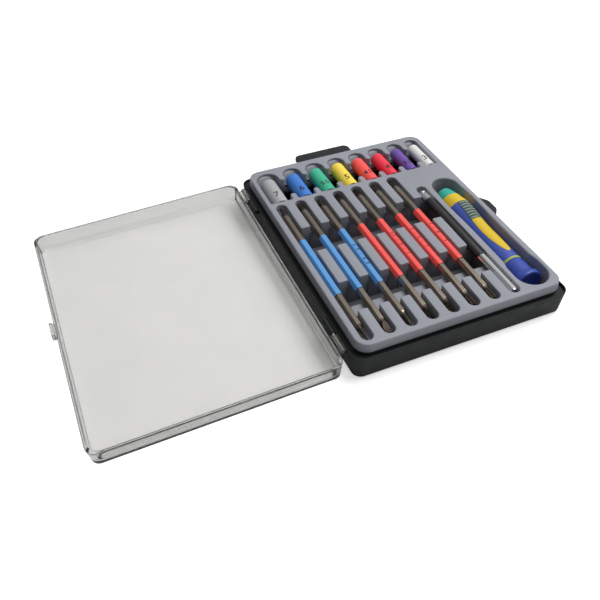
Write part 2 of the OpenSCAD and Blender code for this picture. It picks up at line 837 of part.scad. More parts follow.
// A side outline, carried out from the handle's axis at each pad
module at_pads() {
    for (k = [0:pad_count - 1])
        translate([handle_x, 0, handle_z])
            rotate([0, 90 - pad_angle - k * 360 / pad_count, 0])
                linear_extrude(2 * body_r) children();
}

module handle_body() {
    color("#3246a5")
    difference() {
        body_form(0);
        along_y(handle_x, nose_y - bit_len, handle_z, bit_len, bit_r);
        along_y(handle_x, body_end - eps, handle_z, cap_pin_in + eps, cap_pin_r);
        difference() {
            at_pads() grip_2d();
            body_form(-pad_d);
        }
    }
}

// Side outline of a ribbed pad and its inlay together
module grip_2d() {
    polygon(concat(pad_side(-1), pad_side(1), leaf_side(1), leaf_side(-1), [pad_corner(-1)]));
}

// Side outline of a ribbed pad
module pad_2d() {
    polygon(concat(pad_side(-1), pad_side(1), [pad_corner(-1)]));
}

// Side outline of an inlay: a leaf with a rounded tip
module inlay_2d() {
    polygon(concat(leaf_side(1), leaf_side(-1)));
}
leaf_steps = 9;
function pad_corner(s) = [s * body_rad(pad_end) * sin(pad_half_back), pad_end];
function pad_side(s) = concat([[s * body_r * sin(pad_half_front), body_y + nub]],
    s > 0 ? [pad_corner(s)] : []);
// Half the leaf's angle at t: 0 at the pad, 1 at the tip
function leaf_angle(t) = leaf_half * (0.88 + 0.12 * sin(180 * min(t / 0.8, 1))) * sqrt(1 - pow(t, 4));
function leaf_y(t) = pad_end + (inlay_tip - pad_end) * t;
function leaf_point(s, t) = [s * body_rad(leaf_y(t)) * sin(leaf_angle(t)), leaf_y(t)];
function leaf_side(s) = [for (i = [0:leaf_steps])
    leaf_point(s, 0.998 * sin(90 * (s > 0 ? i : leaf_steps - i) / leaf_steps))];

// Ribbed pads, let into the body
module grip_pads() {
    color("#6e7d6e")
    difference() {
        intersection() {
            turned(handle_x, handle_z, concat([[0, body_y]],
                [for (i = [0:rib_count - 1]) each rib_points(i)], [[0, pad_end]]));
            at_pads() pad_2d();
        }
        body_form(-pad_d);
    }
}
rib_pitch = (body_y - pad_end) / rib_count;
function rib_points(i) = [for (p = [[0, 0], [0.25, 0], [0.3, rib_h], [0.7, rib_h], [0.75, 0], [1, 0]])
    let (y = body_y - (i + p[0]) * rib_pitch) [body_rad(y) + p[1], y]];

module grip_inlays() {
    color("#e6c328")
    difference() {
        intersection() {
            body_form(inlay_up);
            at_pads() inlay_2d();
        }
        body_form(-pad_d);
    }
}

module handle_ring() {
    color("#96aa5a")
    difference() {
        along_y(handle_x, body_end - ring_t, handle_z, ring_t, body_end_r - 0.05);
        along_y(handle_x, body_end - ring_t - 1, handle_z, ring_t + 2, cap_pin_r);
    }
}

// Turning cap, held by a headed pin that is hidden inside it
module handle_cap() {
    neck_y = cap_y - cap_neck;
    neck_r = body_end_r + rim_step;
    flange_y = cap_end + cap_round + flange_t;
    head_y = pin_head_y + seat_gap;
    head_end = pin_head_y - cap_head_t - seat_gap;
    head_bore = cap_head_r + seat_gap;
    color("#3c4bb9")
    turned(handle_x, handle_z, concat(
        [[cap_pin_r + cap_pin_gap, cap_y], [body_end_r - rim_step, cap_y],
            [body_end_r, cap_y - rim_step], [neck_r, neck_y]],
        [for (i = [1:6]) let (t = i / 6)
            [flange_r - (flange_r - neck_r) * cos(90 * t), neck_y + (flange_y - neck_y) * t]],
        [[flange_r, cap_end + cap_round], [flange_r - cap_round, cap_end]],
        [for (i = [0:6]) let (t = 1 - i / 6)
            [(flange_r - 2 * cap_round) * t, cap_end + dish_d * (1 - t * t)]],
        [[0, head_end], [head_bore, head_end], [head_bore, head_y],
            [cap_pin_r + cap_pin_gap, head_y]]));
}

module cap_pin() {
    color("#9a9a9e") {
        along_y(handle_x, pin_head_y - eps, handle_z,
            body_end + cap_pin_in - seat_gap - pin_head_y + eps, cap_pin_r);
        along_y(handle_x, pin_head_y - cap_head_t, handle_z, cap_head_t, cap_head_r);
    }
}

// Steel tube that takes the hexagonal bars
module bit_socket() {
    color("#b0b0b4")
    difference() {
        along_y(handle_x, nose_y - bit_len, handle_z, bit_len - tube_in, bit_r);
        hex_bar(handle_x, nose_y - bit_depth, handle_z, bit_depth + 1, hex_af + hex_gap);
        along_y(handle_x, nose_y - bit_depth - magnet_len, handle_z, magnet_len + eps, hex_af / 2);
    }
}

module bit_magnet() {
    color("#707074")
    along_y(handle_x, nose_y - bit_depth - magnet_len, handle_z, magnet_len, hex_af / 2);
}

base_case();
tool_tray();
lid();
hinge_pins();
color("#a0a0a5") socket_sleeve(0);  // socket_sleeve_1
color("#3c6ebe") socket_sleeve(1);  // socket_sleeve_2
color("#3ca07d") socket_sleeve(2);  // socket_sleeve_3
color("#e1c850") socket_sleeve(3);  // socket_sleeve_4
color("#eb5a50") socket_sleeve(4);  // socket_sleeve_5
color("#e1324b") socket_sleeve(5);  // socket_sleeve_6
color("#644196") socket_sleeve(6);  // socket_sleeve_7
color("#e1e1dc") socket_sleeve(7);  // socket_sleeve_8
socket_core(0);  // socket_core_1
socket_core(1);  // socket_core_2
socket_core(2);  // socket_core_3
socket_core(3);  // socket_core_4
socket_core(4);  // socket_core_5
socket_core(5);  // socket_core_6
socket_core(6);  // socket_core_7
socket_core(7);  // socket_core_8
blade(0);  // blade_1
blade(1);  // blade_2
blade(2);  // blade_3
blade(3);  // blade_4
blade(4);  // blade_5
blade(5);  // blade_6
blade(6);  // blade_7
color("#5a9bd7") blade_sleeve(0);  // blade_sleeve_1
color("#5a9bd7") blade_sleeve(1);  // blade_sleeve_2
color("#5a9bd7") blade_sleeve(2);  // blade_sleeve_3
color("#f55a55") blade_sleeve(3);  // blade_sleeve_4
color("#f55a55") blade_sleeve(4);  // blade_sleeve_5
color("#f55a55") blade_sleeve(5);  // blade_sleeve_6
color("#f55a55") blade_sleeve(6);  // blade_sleeve_7
extension_bar();
extension_sleeve();
handle_body();
handle_collar();
handle_nose();
bit_socket();
bit_magnet();
grip_pads();
grip_inlays();
handle_ring();
handle_cap();
cap_pin();
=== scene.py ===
"""Looks of a precision screwdriver set: a hinged case, its moulded tray and the tools in it.

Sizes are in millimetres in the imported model's frame (+X latch side, +Y hang tab, +Z up) and
become metres when a mesh is made. Shapes are grids worked out with numpy: a line carried
along a path, or a section that changes along an axis. Each class is one sub-assembly.
"""

import logging
import math
from dataclasses import dataclass
from enum import Enum
from typing import Callable, Sequence

import bmesh
import bpy
import numpy as np
from mathutils import Matrix, Vector
from mathutils.geometry import tessellate_polygon


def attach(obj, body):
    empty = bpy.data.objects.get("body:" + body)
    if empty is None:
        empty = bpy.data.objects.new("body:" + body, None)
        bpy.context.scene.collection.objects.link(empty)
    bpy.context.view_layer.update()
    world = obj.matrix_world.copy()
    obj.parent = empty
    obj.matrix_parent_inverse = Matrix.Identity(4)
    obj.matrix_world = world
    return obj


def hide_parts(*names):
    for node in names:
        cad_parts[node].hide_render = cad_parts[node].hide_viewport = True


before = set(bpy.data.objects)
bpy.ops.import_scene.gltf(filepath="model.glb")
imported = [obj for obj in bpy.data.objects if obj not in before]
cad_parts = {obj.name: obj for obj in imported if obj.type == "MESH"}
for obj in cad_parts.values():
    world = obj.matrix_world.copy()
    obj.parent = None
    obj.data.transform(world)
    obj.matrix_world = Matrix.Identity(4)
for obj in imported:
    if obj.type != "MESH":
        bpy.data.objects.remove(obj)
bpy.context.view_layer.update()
MM = 0.001
FINISH = "_finish"
WELD = 2e-6  # metres within which the seams of a piece are merged
BAR = 2.0  # half the width across the flats of the hexagonal bars
LOG = logging.getLogger("screwdriver_set")

Array = np.ndarray
Triple = tuple[float, float, float]
Profile = Sequence[tuple[float, float]]
Change = Callable[[np.ndarray], np.ndarray]
Socket = bpy.types.NodeSocket


def tone(red: int, green: int, blue: int) -> Triple:
    """A screen colour from 0 to 255 as the linear colour that a shader takes."""
    part = np.array([red, green, blue]) / 255
    part = np.where(part <= 0.04045, part / 12.92, ((part + 0.055) / 1.055) ** 2.4)
    return tuple(float(c) for c in part)


def put(name: str, data: bpy.types.ID) -> bpy.types.Object:
    """A new object of this data, linked to the scene."""
    made = bpy.data.objects.new(name, data)
    bpy.context.scene.collection.objects.link(made)
    return made


def hand_over(made: bpy.types.Object, body: str, replaces: Sequence[str] = ()) -> None:
    """Gives a piece its body, hides the CAD nodes that it stands for, and reports it."""
    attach(made, body)
    if replaces:
        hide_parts(*replaces)
    LOG.info("%s: %d faces on %s", made.name, len(made.data.polygons), body)


# ---------------------------------------------------------------- lines and surfaces


def bend(
    centre_out: float, centre_z: float, radius: float, start: float, end: float, steps: int = 6
) -> list[tuple[float, float]]:
    """Points of an arc in a wall's profile.

    Args:
        centre_out: the arc centre's distance out from the outline.
        centre_z: its height.
        radius: the arc's radius.
        start, end: angles in degrees, counted from outwards towards up.
        steps: the number of short lines.

    Returns:
        Pairs of distance out and height: centre + radius * (cos, sin).
    """
    a = np.radians(np.linspace(start, end, steps + 1))
    return [(centre_out + radius * math.cos(t), centre_z + radius * math.sin(t)) for t in a]


def ease(t: Array) -> Array:
    """Half a cosine wave, from 0 at t = 0 to 1 at t = 1: (1 - cos(pi t)) / 2."""
    return (1 - np.cos(np.pi * t)) / 2


def circle(steps: int = 72) -> Array:
    """Angles once round, evenly spaced, the first not repeated."""
    return np.linspace(0, 2 * math.pi, steps, endpoint=False)


def along_y(x: float, z: float, y: Array, angle: Array, radius: Array) -> Array:
    """Grid of points at each y and angle about an axis along Y: axis + radius * (cos, sin)."""
    across, up = x + radius * np.cos(angle), z + radius * np.sin(angle)
    return np.stack(np.broadcast_arrays(across, y[:, None], up), -1)


@dataclass(frozen=True)
class Outline:
    """A closed line in the XY plane, run counter-clockwise, with its outward directions."""

    points: Array
    outward: Array

    @staticmethod
    def rounded(corners: Sequence[Triple], step: float = 9.0) -> "Outline":
        """A polygon whose corners are arcs.

        Args:
            corners: x, y and radius of each corner, counter-clockwise.
            step: degrees from point to point on an arc.

        Returns:
            The outline. Each arc touches both sides of its corner; its centre is one radius
            from both, and its outward direction turns from one side's to the other's.
        """
        pts, outs = [], []
        xy = np.array([c[:2] for c in corners], float)
        for k, (_, _, radius) in enumerate(corners):
            into = xy[k] - xy[k - 1]
            away = xy[(k + 1) % len(xy)] - xy[k]
            into, away = into / np.linalg.norm(into), away / np.linalg.norm(away)
            turn = math.atan2(into[0] * away[1] - into[1] * away[0], into @ away)
            side = 1.0 if turn > 0 else -1.0
            first = math.atan2(-into[0], into[1])
            start = xy[k] - into * radius * math.tan(abs(turn) / 2)
            centre = start - side * radius * np.array([math.cos(first), math.sin(first)])
            count = max(2, int(abs(math.degrees(turn)) / step) + 1)
            a = first + np.linspace(0, turn, count)
            out = np.stack([np.cos(a), np.sin(a)], -1)
            pts.append(centre + side * radius * out)
            outs.append(out)
        return Outline(np.concatenate(pts), np.concatenate(outs))

    @staticmethod
    def plate(hx: float, hy: float, radius: float, cx: float = 0, cy: float = 0) -> "Outline":
        """A rounded rectangle of half sizes hx and hy about (cx, cy)."""
        signs = ((1, -1), (1, 1), (-1, 1), (-1, -1))
        return Outline.rounded([(cx + sx * hx, cy + sy * hy, radius) for sx, sy in signs], 6.0)

    @staticmethod
    def between(x: tuple[float, float], y: tuple[float, float], radius: float) -> "Outline":
        """A rounded rectangle between two x and two y, each in either order."""
        (x0, x1), (y0, y1) = x, y
        size = (abs(x1 - x0) / 2, abs(y1 - y0) / 2)
        return Outline.plate(*size, radius, (x0 + x1) / 2, (y0 + y1) / 2)

    @staticmethod
    def strip(x: tuple[float, float], y: tuple[float, float], r: tuple[float, float]) -> "Outline":
        """A rectangle between two x and two y whose front and back corners have their own radii."""
        (x0, x1), (y0, y1), (r0, r1) = x, y, r
        return Outline.rounded([(x0, y0, r0), (x1, y0, r0), (x1, y1, r1), (x0, y1, r1)])

    @staticmethod
    def smooth(points: Array) -> "Outline":
        """A closed line through points; its outward direction is across the chord beside each."""
        chord = np.roll(points, -1, 0) - np.roll(points, 1, 0)
        out = np.stack([chord[:, 1], -chord[:, 0]], -1)
        return Outline(points, out / np.linalg.norm(out, axis=1, keepdims=True))

    def out(self, distance: float) -> Array:
        """The line moved outwards by a distance: point + distance * outward direction."""
        return self.points + distance * self.outward

    def wall(self, profile: Profile) -> Array:
        """A profile carried along the line.

        Args:
            profile: pairs of distance out and height.

        Returns:
            Grid (profile, line, 3): point + out * outward direction, at the profile's height.
        """
        prof = np.array(profile, float)
        flat = self.points[None] + prof[:, 0, None, None] * self.outward[None]
        high = np.broadcast_to(prof[:, 1, None, None], flat.shape[:2] + (1,))
        return np.concatenate([flat, high], -1)


class Skin:
    """Gathers grids and flat patches and makes them one mesh of closed shells."""

    def __init__(self) -> None:
        """Starts empty."""
        self._points: list[Array] = []
        self._faces: list[list[int]] = []
        self._slots: list[int] = []
        self._count = 0

    def _add(self, points: Array, faces: Array, slot: int) -> None:
        """Adds points and the faces that join them, by numbers within these points."""
        self._points.append(points.reshape(-1, 3))
        self._faces.extend((faces + self._count).tolist())
        self._slots.extend([slot] * len(faces))
        self._count += len(self._points[-1])

    def grid(
        self, pts: Array, around: bool = True, closed: bool = False, slot: int = 0
    ) -> "Skin":
        """Adds a grid as four-sided faces.

        Args:
            pts: points (rows, columns, 3).
            around: whether the last column joins the first.
            closed: whether the last row joins the first.
            slot: the material slot.

        Returns:
            This skin, so that calls can be chained.
        """
        rows, cols = pts.shape[:2]
        i = np.arange(rows if closed else rows - 1)[:, None]
        j = np.arange(cols if around else cols - 1)[None]
        i2, j2 = (i + 1) % rows, (j + 1) % cols
        quad = (i * cols + j, i2 * cols + j, i2 * cols + j2, i * cols + j2)
        self._add(pts, np.stack(np.broadcast_arrays(*quad), -1).reshape(-1, 4), slot)
        return self

    def patch(
        self, line: Array, z: float, holes: Sequence[Array] = (), slot: int = 0
    ) -> "Skin":
        """Adds a flat face at height z inside a line (n, 2), left open inside each hole."""
        loops = [line, *holes]
        flat = np.concatenate(loops)
        tris = tessellate_polygon([[Vector((x, y, 0)) for x, y in loop] for loop in loops])
        pts = np.concatenate([flat, np.full((len(flat), 1), z)], -1)
        self._add(pts, np.array(tris), slot)
        return self

    def slab(
        self,
        line: Outline,
        low: float,
        high: float,
        edge: float,
        holes: Sequence[Outline] = (),
        slot: int = 0,
        low_edge: float | None = None,
    ) -> "Skin":
        """Adds a closed plate with rounded edges.

        Args:
            line: its outline.
            low, high: heights of its faces.
            edge: radius of its upper edges.
            holes: outlines of the holes through it.
            slot: the material slot.
            low_edge: radius of its lower edges, where it isn't the same.

        Returns:
            This skin.
        """
        under = edge if low_edge is None else low_edge
        rim = bend(-edge, high - edge, edge, 90, 0, 4)
        rim += bend(-under, low + under, under, 0, -90, 4)
        inner = [(-d, z) for d, z in rim]
        self.grid(line.wall(rim), slot=slot)
        for hole in holes:
            self.grid(hole.wall(inner), slot=slot)
        self.patch(line.out(-edge), high, [h.out(edge) for h in holes], slot)
        self.patch(line.out(-under), low, [h.out(under) for h in holes], slot)
        return self

    def turned(self, x: float, z: float, profile: Profile, steps: int) -> "Skin":
        """Adds a closed turned shape about an axis along Y.

        Args:
            x, z: where the axis is.
            profile: pairs of radius and y; its last point joins its first.
            steps: points round the axis.

        Returns:
            This skin. A point is axis + radius * (cos, sin) in the XZ plane.
        """
        prof = np.array(profile, float)
        return self.grid(along_y(x, z, prof[:, 1], circle(steps), prof[:, :1]), closed=True)

    def moved(self, change: Change) -> "Skin":
        """Moves every point gathered so far: the function takes and gives an (n, 3) array."""
        self._points = [change(p) for p in self._points]
        return self

    def build(
        self,
        name: str,
        body: str,
        looks: "Sequence[Look]",
        replaces: Sequence[str] = (),
        sharp: float = 38.0,
    ) -> None:
        """Makes the object, merges its seams, turns its faces outwards and hands it to the frame.

        Args:
            name: the object's name.
            body: the CAD body it rides on.
            looks: one for each material slot.
            replaces: CAD nodes it stands for.
            sharp: edges that turn more than this many degrees stay crisp.
        """
        mesh = bpy.data.meshes.new(name)
        mesh.from_pydata((np.concatenate(self._points) * MM).tolist(), [], self._faces)
        mesh.polygons.foreach_set("material_index", self._slots)
        work = bmesh.new()
        work.from_mesh(mesh)
        bmesh.ops.remove_doubles(work, verts=work.verts, dist=WELD)
        bmesh.ops.dissolve_degenerate(work, dist=1e-7, edges=work.edges)
        bmesh.ops.recalc_face_normals(work, faces=work.faces)
        work.to_mesh(mesh)
        work.free()
        mesh.polygons.foreach_set("use_smooth", np.ones(len(mesh.polygons), bool))
        mesh.set_sharp_from_angle(angle=math.radians(sharp))
        for look in looks:
            mesh.materials.append(look.paint())
        hand_over(put(name, mesh), body, replaces)


# ---------------------------------------------------------------- finishes


class Nodes:
    """A node tree, with short calls to add and join shader nodes."""

    def __init__(self, tree: bpy.types.NodeTree) -> None:
        """Takes the tree to add to."""
        self.tree = tree

    def node(self, kind: str, settings: dict | None = None, **inputs: object) -> bpy.types.Node:
        """Adds a shader node.

        Args:
            kind: its type, without the ShaderNode in front.
            settings: attributes to set on it.
            inputs: values or sockets for its inputs, with _ for a space.

        Returns:
            The node.
        """
        made = self.tree.nodes.new("ShaderNode" + kind)
        for key, value in (settings or {}).items():
            setattr(made, key, value)
        self.feed(made, {key.replace("_", " "): value for key, value in inputs.items()})
        return made

    def feed(self, node: bpy.types.Node, inputs: dict[str | int, object]) -> None:
        """Sets each named input to its value, or joins its socket to it."""
        for key, value in inputs.items():
            if isinstance(value, Socket):
                self.tree.links.new(value, node.inputs[key])
            else:
                node.inputs[key].default_value = value

    def ramp(
        self, value: Socket, low: float, high: float, to_low: float, to_high: float,
        kind: str = "LINEAR",
    ) -> Socket:
        """A value carried from one range to another and held at its ends."""
        made = self.node("MapRange", {"interpolation_type": kind}, Value=value)
        limits = {"From Min": low, "From Max": high, "To Min": to_low, "To Max": to_high}
        self.feed(made, limits)
        return made.outputs[0]

    def combine(self, operation: str, a: object, b: object) -> Socket:
        """Two values joined by an operation of the Math node."""
        made = self.node("Math", {"operation": operation})
        self.feed(made, {0: a, 1: b})
        return made.outputs[0]


class Recipe(Nodes):
    """A material's node tree, with short calls for grain, tints and relief."""

    def __init__(self, name: str) -> None:
        """Makes an empty node tree with its output."""
        self.material = bpy.data.materials.new(name + FINISH)
        self.material.use_nodes = True
        super().__init__(self.material.node_tree)
        self.tree.nodes.clear()
        self.out = self.node("OutputMaterial")
        self.place = self.node("TexCoord").outputs["Object"]

    def axis(self, name: str) -> Socket:
        """The place along one axis, in metres."""
        return self.node("SeparateXYZ", Vector=self.place).outputs[name]

    def noise(self, size: float, detail: float = 3, stretch: Triple = (1, 1, 1)) -> Socket:
        """Grain of a size in millimetres, from 0 to 1, drawn out along the axes."""
        scaled = self.node("Mapping", Vector=self.place, Scale=[1 / s for s in stretch])
        return self.node(
            "TexNoise", Vector=scaled.outputs[0], Scale=1000 / size, Detail=detail, Roughness=0.6
        ).outputs[0]

    def blend(self, amount: object, a: object, b: object) -> Socket:
        """A colour between a and b."""
        made = self.node("Mix", {"data_type": "RGBA"})
        ends = [c if isinstance(c, Socket) else (*c, 1) for c in (a, b)]
        self.feed(made, {0: amount, 6: ends[0], 7: ends[1]})
        return made.outputs[2]

    def bump(self, height: Socket, depth: float, under: Socket | None = None) -> Socket:
        """Relief of a depth in millimetres, laid over another relief where there is one."""
        made = self.node("Bump", Height=height, Distance=depth * MM, Strength=1.0)
        if under is not None:
            self.feed(made, {"Normal": under})
        return made.outputs[0]

    def finish(self, shader: bpy.types.Node) -> bpy.types.Material:
        """Joins the last shader to the output."""
        self.feed(self.out, {0: shader.outputs[0]})
        return self.material


def shade(colour: Triple, factor: float) -> Triple:
    """A colour made lighter or darker."""
    return tuple(min(1.0, c * factor) for c in colour)


@dataclass(frozen=True)
class Moulded:
    """Moulded plastic: textured or polished skin, faint flow marks and rubbed patches.

    Depth shade is painted shade: a low height, a high height and the share of the colour left below
    the low one.
    """

    name: str
    colour: Triple
    roughness: float = 0.45
    grain: float = 0.5
    depth: float = 0.02
    mottle: float = 0.06
    rub: float = 0.08
    coat: float = 0.0
    specular: float = 0.5
    depth_shade: Triple | None = None

    def _shade_by_depth(self, r: Recipe, tint: Socket) -> Socket:
        """The tint darkened lower down as painted shade: a share of the colour below the first
        height, all above the second.
        """
        low, high, share = self.depth_shade
        depth = r.ramp(r.axis("Z"), low * MM, high * MM, 1, 0)
        return r.blend(depth, tint, shade(self.colour, share))

    def material(self) -> bpy.types.Material:
        """The material: flow marks tint it, rubbing changes its gloss, grain its relief."""
        r = Recipe(self.name)
        flow = r.noise(28, 3, (1, 1.8, 1))
        fine = r.noise(self.grain, 2)
        tint = r.blend(
            r.ramp(flow, 0.3, 0.7, 0, 1),
            shade(self.colour, 1 - self.mottle),
            shade(self.colour, 1 + self.mottle),
        )
        speck = r.ramp(fine, 0.35, 0.75, 0, self.mottle * 1.6)
        tint = r.blend(speck, tint, shade(self.colour, 1.5))
        # painted shade: the colour darkens towards the bottom of deep pockets
        if self.depth_shade:
            tint = self._shade_by_depth(r, tint)
        low, high = self.roughness - self.rub, self.roughness + self.rub
        worn = r.ramp(r.noise(6, 5, (1, 2.5, 1)), 0.35, 0.7, low, high)
        return r.finish(
            r.node(
                "BsdfPrincipled",
                Roughness=worn,
                Normal=r.bump(fine, self.depth),
                Base_Color=tint,
                Specular_IOR_Level=self.specular,
                Coat_Weight=self.coat,
                Coat_Roughness=0.08,
            )
        )


@dataclass(frozen=True)
class Metal:
    """Steel with drawing lines along Y, a stained tint in patches and fine pits.

    Painted streaks are dark reflections along Y laid into the colour; blackened gives the y beyond
    which it is dark.
    """

    name: str
    colour: Triple
    stain: Triple
    roughness: float = 0.3
    lines: float = 0.01
    painted_streaks: float = 0.0
    blackened: tuple[float, float] | None = None

    def _ends(self, r: Recipe) -> Socket:
        """How much a point is beyond the front or back limit along Y, from 0 to 1."""
        y, soft = r.axis("Y"), 0.6 * MM
        front, back = (v * MM for v in self.blackened)
        return r.combine(
            "MAXIMUM",
            r.ramp(y, front - soft, front + soft, 1, 0),
            r.ramp(y, back - soft, back + soft, 0, 1),
        )

    def material(self) -> bpy.types.Material:
        """The material: lines run with the bar, stain and gloss vary in patches."""
        r = Recipe(self.name)
        drawn = r.noise(0.35, 3, (1, 30, 1))
        patch = r.noise(5, 4, (1, 2.2, 1))
        tint = r.blend(r.ramp(patch, 0.35, 0.65, 0, 1), self.colour, self.stain)
        tint = r.blend(r.ramp(drawn, 0.3, 0.8, 0, 0.35), tint, shade(self.colour, 1.45))
        if self.painted_streaks:
            # painted reflection: dark streaks along Y in the base colour
            wide = r.noise(0.9, 1, (1, 70, 1))
            tint = r.blend(r.ramp(wide, 0.5, 0.57, 0, self.painted_streaks), tint, shade(self.colour, 0.2))
        rough = r.ramp(patch, 0.3, 0.7, self.roughness * 0.8, self.roughness * 1.25)
        if self.blackened:
            ends = self._ends(r)
            tint = r.blend(ends, tint, shade(self.stain, 0.3))
            rough = r.combine("ADD", rough, r.ramp(ends, 0, 1, 0.0, 0.2))
        relief = r.bump(r.noise(0.3, 2), self.lines * 0.5, r.bump(drawn, self.lines))
        return r.finish(
            r.node(
                "BsdfPrincipled", Roughness=rough, Normal=relief, Metallic=1.0, Base_Color=tint
            )
        )


@dataclass(frozen=True)
class Clear:
    """Clear hard plastic with a grey body: the longer the way through it, the darker it looks."""

    name: str
    skin: Triple
    body: float
    density: float
    passing: Triple
    roughness: float = 0.03

    def material(self) -> bpy.types.Material:
        """The material; light for shadows passes through it, so it casts a pale shadow."""
        r = Recipe(self.name)
        haze = r.noise(18, 4)
        scratch = r.node(
            "TexWave",
            {"wave_type": "BANDS", "bands_direction": "DIAGONAL"},
            Vector=r.place,
            Scale=22.0,
            Distortion=60.0,
            Detail=3.0,
        )
        scratch_fine = r.ramp(scratch.outputs["Fac"], 0.985, 1.0, 0, 1)
        rough = r.ramp(haze, 0.35, 0.7, self.roughness, self.roughness * 3)
        relief = r.bump(scratch_fine, 0.004, r.bump(r.noise(9, 2), 0.02))
        shader = r.node(
            "BsdfPrincipled",
            Roughness=rough,
            Normal=relief,
            Base_Color=r.blend(r.ramp(haze, 0.3, 0.7, 0, 1), self.skin, shade(self.skin, 0.97)),
            Transmission_Weight=1.0,
            IOR=1.5,
        )
        see = r.node("BsdfTransparent", Color=(*self.passing, 1))
        shadow = r.node("LightPath").outputs["Is Shadow Ray"]
        mix = r.node("MixShader")
        r.feed(mix, {0: shadow, 1: shader.outputs[0], 2: see.outputs[0]})
        soak = r.node("VolumeAbsorption", Color=(*[self.body] * 3, 1), Density=self.density)
        r.feed(r.out, {"Volume": soak.outputs[0]})
        return r.finish(mix)


class Look(Enum):
    """The finishes, by the piece of the real set that wears them."""

    CASE = Moulded("case_black", tone(42, 44, 45), 0.5, 0.35, 0.012, 0.08, 0.06, specular=0.14)
    TRAY = Moulded(
        "tray_grey", tone(143, 145, 154), 0.55, 0.42, 0.014, 0.05, 0.05,
        # painted shade, darker towards the bottom of the wells and trenches
        specular=0.35, depth_shade=(6.0, 17.0, 0.58),
    )
    LID = Clear("lid_clear", (0.655, 0.651, 0.64), 0.5, 60.0, (0.93, 0.93, 0.93))
    PIN = Metal("pin_steel", (0.42, 0.41, 0.4), (0.3, 0.29, 0.27), 0.3)
    CORE = Metal("socket_steel", (0.36, 0.36, 0.37), (0.24, 0.23, 0.22), 0.35)
    BLADE = Metal(
        "blade_steel", (0.27, 0.23, 0.19), (0.17, 0.14, 0.11), 0.3, 0.012, blackened=(-64.6, 31.9)
    )
    # its last number is the share of painted dark reflection streaks
    CHROME = Metal("bar_chrome", (0.88, 0.88, 0.89), (0.78, 0.78, 0.79), 0.12, 0.006, 0.66)
    MAGNET = Metal("magnet_steel", (0.3, 0.3, 0.3), (0.22, 0.22, 0.22), 0.35)
    SLEEVE_BLUE = Moulded("sleeve_blue", tone(86, 150, 214), 0.36, 0.5, 0.004, 0.05, 0.06)
    SLEEVE_RED = Moulded("sleeve_red", tone(244, 84, 78), 0.36, 0.5, 0.004, 0.05, 0.06)
    SLEEVE_BLACK = Moulded("sleeve_black", tone(30, 30, 32), 0.4, 0.5, 0.006, 0.06, 0.08)
    HANDLE_BLUE = Moulded("handle_blue", tone(58, 80, 168), 0.36, 0.8, 0.004, 0.05, 0.06, 0.08)
    HANDLE_YELLOW = Moulded("handle_yellow", tone(218, 184, 30), 0.38, 0.6, 0.004, 0.05, 0.06)
    HANDLE_TEAL = Moulded("handle_teal", tone(44, 168, 148), 0.42, 0.6, 0.006, 0.05, 0.06)
    PAD = Moulded("pad_grey_green", tone(118, 134, 116), 0.6, 0.3, 0.02, 0.1, 0.08)
    # pad web: its own navy blue, darkened further as painted shade in the grooves between the ribs
    PAD_WEB = Moulded("pad_web_dark", tone(48, 62, 84), 0.65, 0.3, 0.02, 0.1, 0.08, specular=0.25)
    RING = Moulded("ring_green", tone(158, 176, 92), 0.4, 0.5, 0.004, 0.05, 0.05)
    CAP = Moulded("cap_blue", tone(46, 70, 162), 0.3, 0.8, 0.004, 0.05, 0.06, 0.1)
    SOCKET_GREY = Moulded("socket_grey", tone(170, 170, 174), 0.4, 0.5, 0.006, 0.04, 0.06)
    SOCKET_BLUE = Moulded("socket_blue", tone(54, 120, 204), 0.36, 0.5, 0.006, 0.05, 0.06)
    SOCKET_GREEN = Moulded("socket_green", tone(56, 180, 142), 0.36, 0.5, 0.006, 0.05, 0.06)
    SOCKET_YELLOW = Moulded("socket_yellow", tone(246, 216, 74), 0.36, 0.5, 0.006, 0.05, 0.06)
    SOCKET_ORANGE = Moulded("socket_orange_red", tone(248, 84, 78), 0.36, 0.5, 0.006, 0.05, 0.06)
    SOCKET_CRIMSON = Moulded("socket_crimson", tone(238, 48, 70), 0.36, 0.5, 0.006, 0.05, 0.06)
    SOCKET_PURPLE = Moulded("socket_purple", tone(110, 76, 166), 0.36, 0.5, 0.006, 0.05, 0.06)
    SOCKET_WHITE = Moulded("socket_white", tone(228, 228, 224), 0.38, 0.5, 0.006, 0.03, 0.05)
    INK = Moulded("size_ink", tone(24, 24, 26), 0.5, 0.3, 0.004, 0.1, 0.05)
    INK_RED = Moulded("size_ink_red", tone(150, 44, 48), 0.5, 0.3, 0.004, 0.1, 0.05)

    def paint(self) -> bpy.types.Material:
        """The finish's material, made the first time that it is asked for."""
        made = bpy.data.materials.get(self.value.name + FINISH)
        return made if made is not None else self.value.material()


# ---------------------------------------------------------------- studio


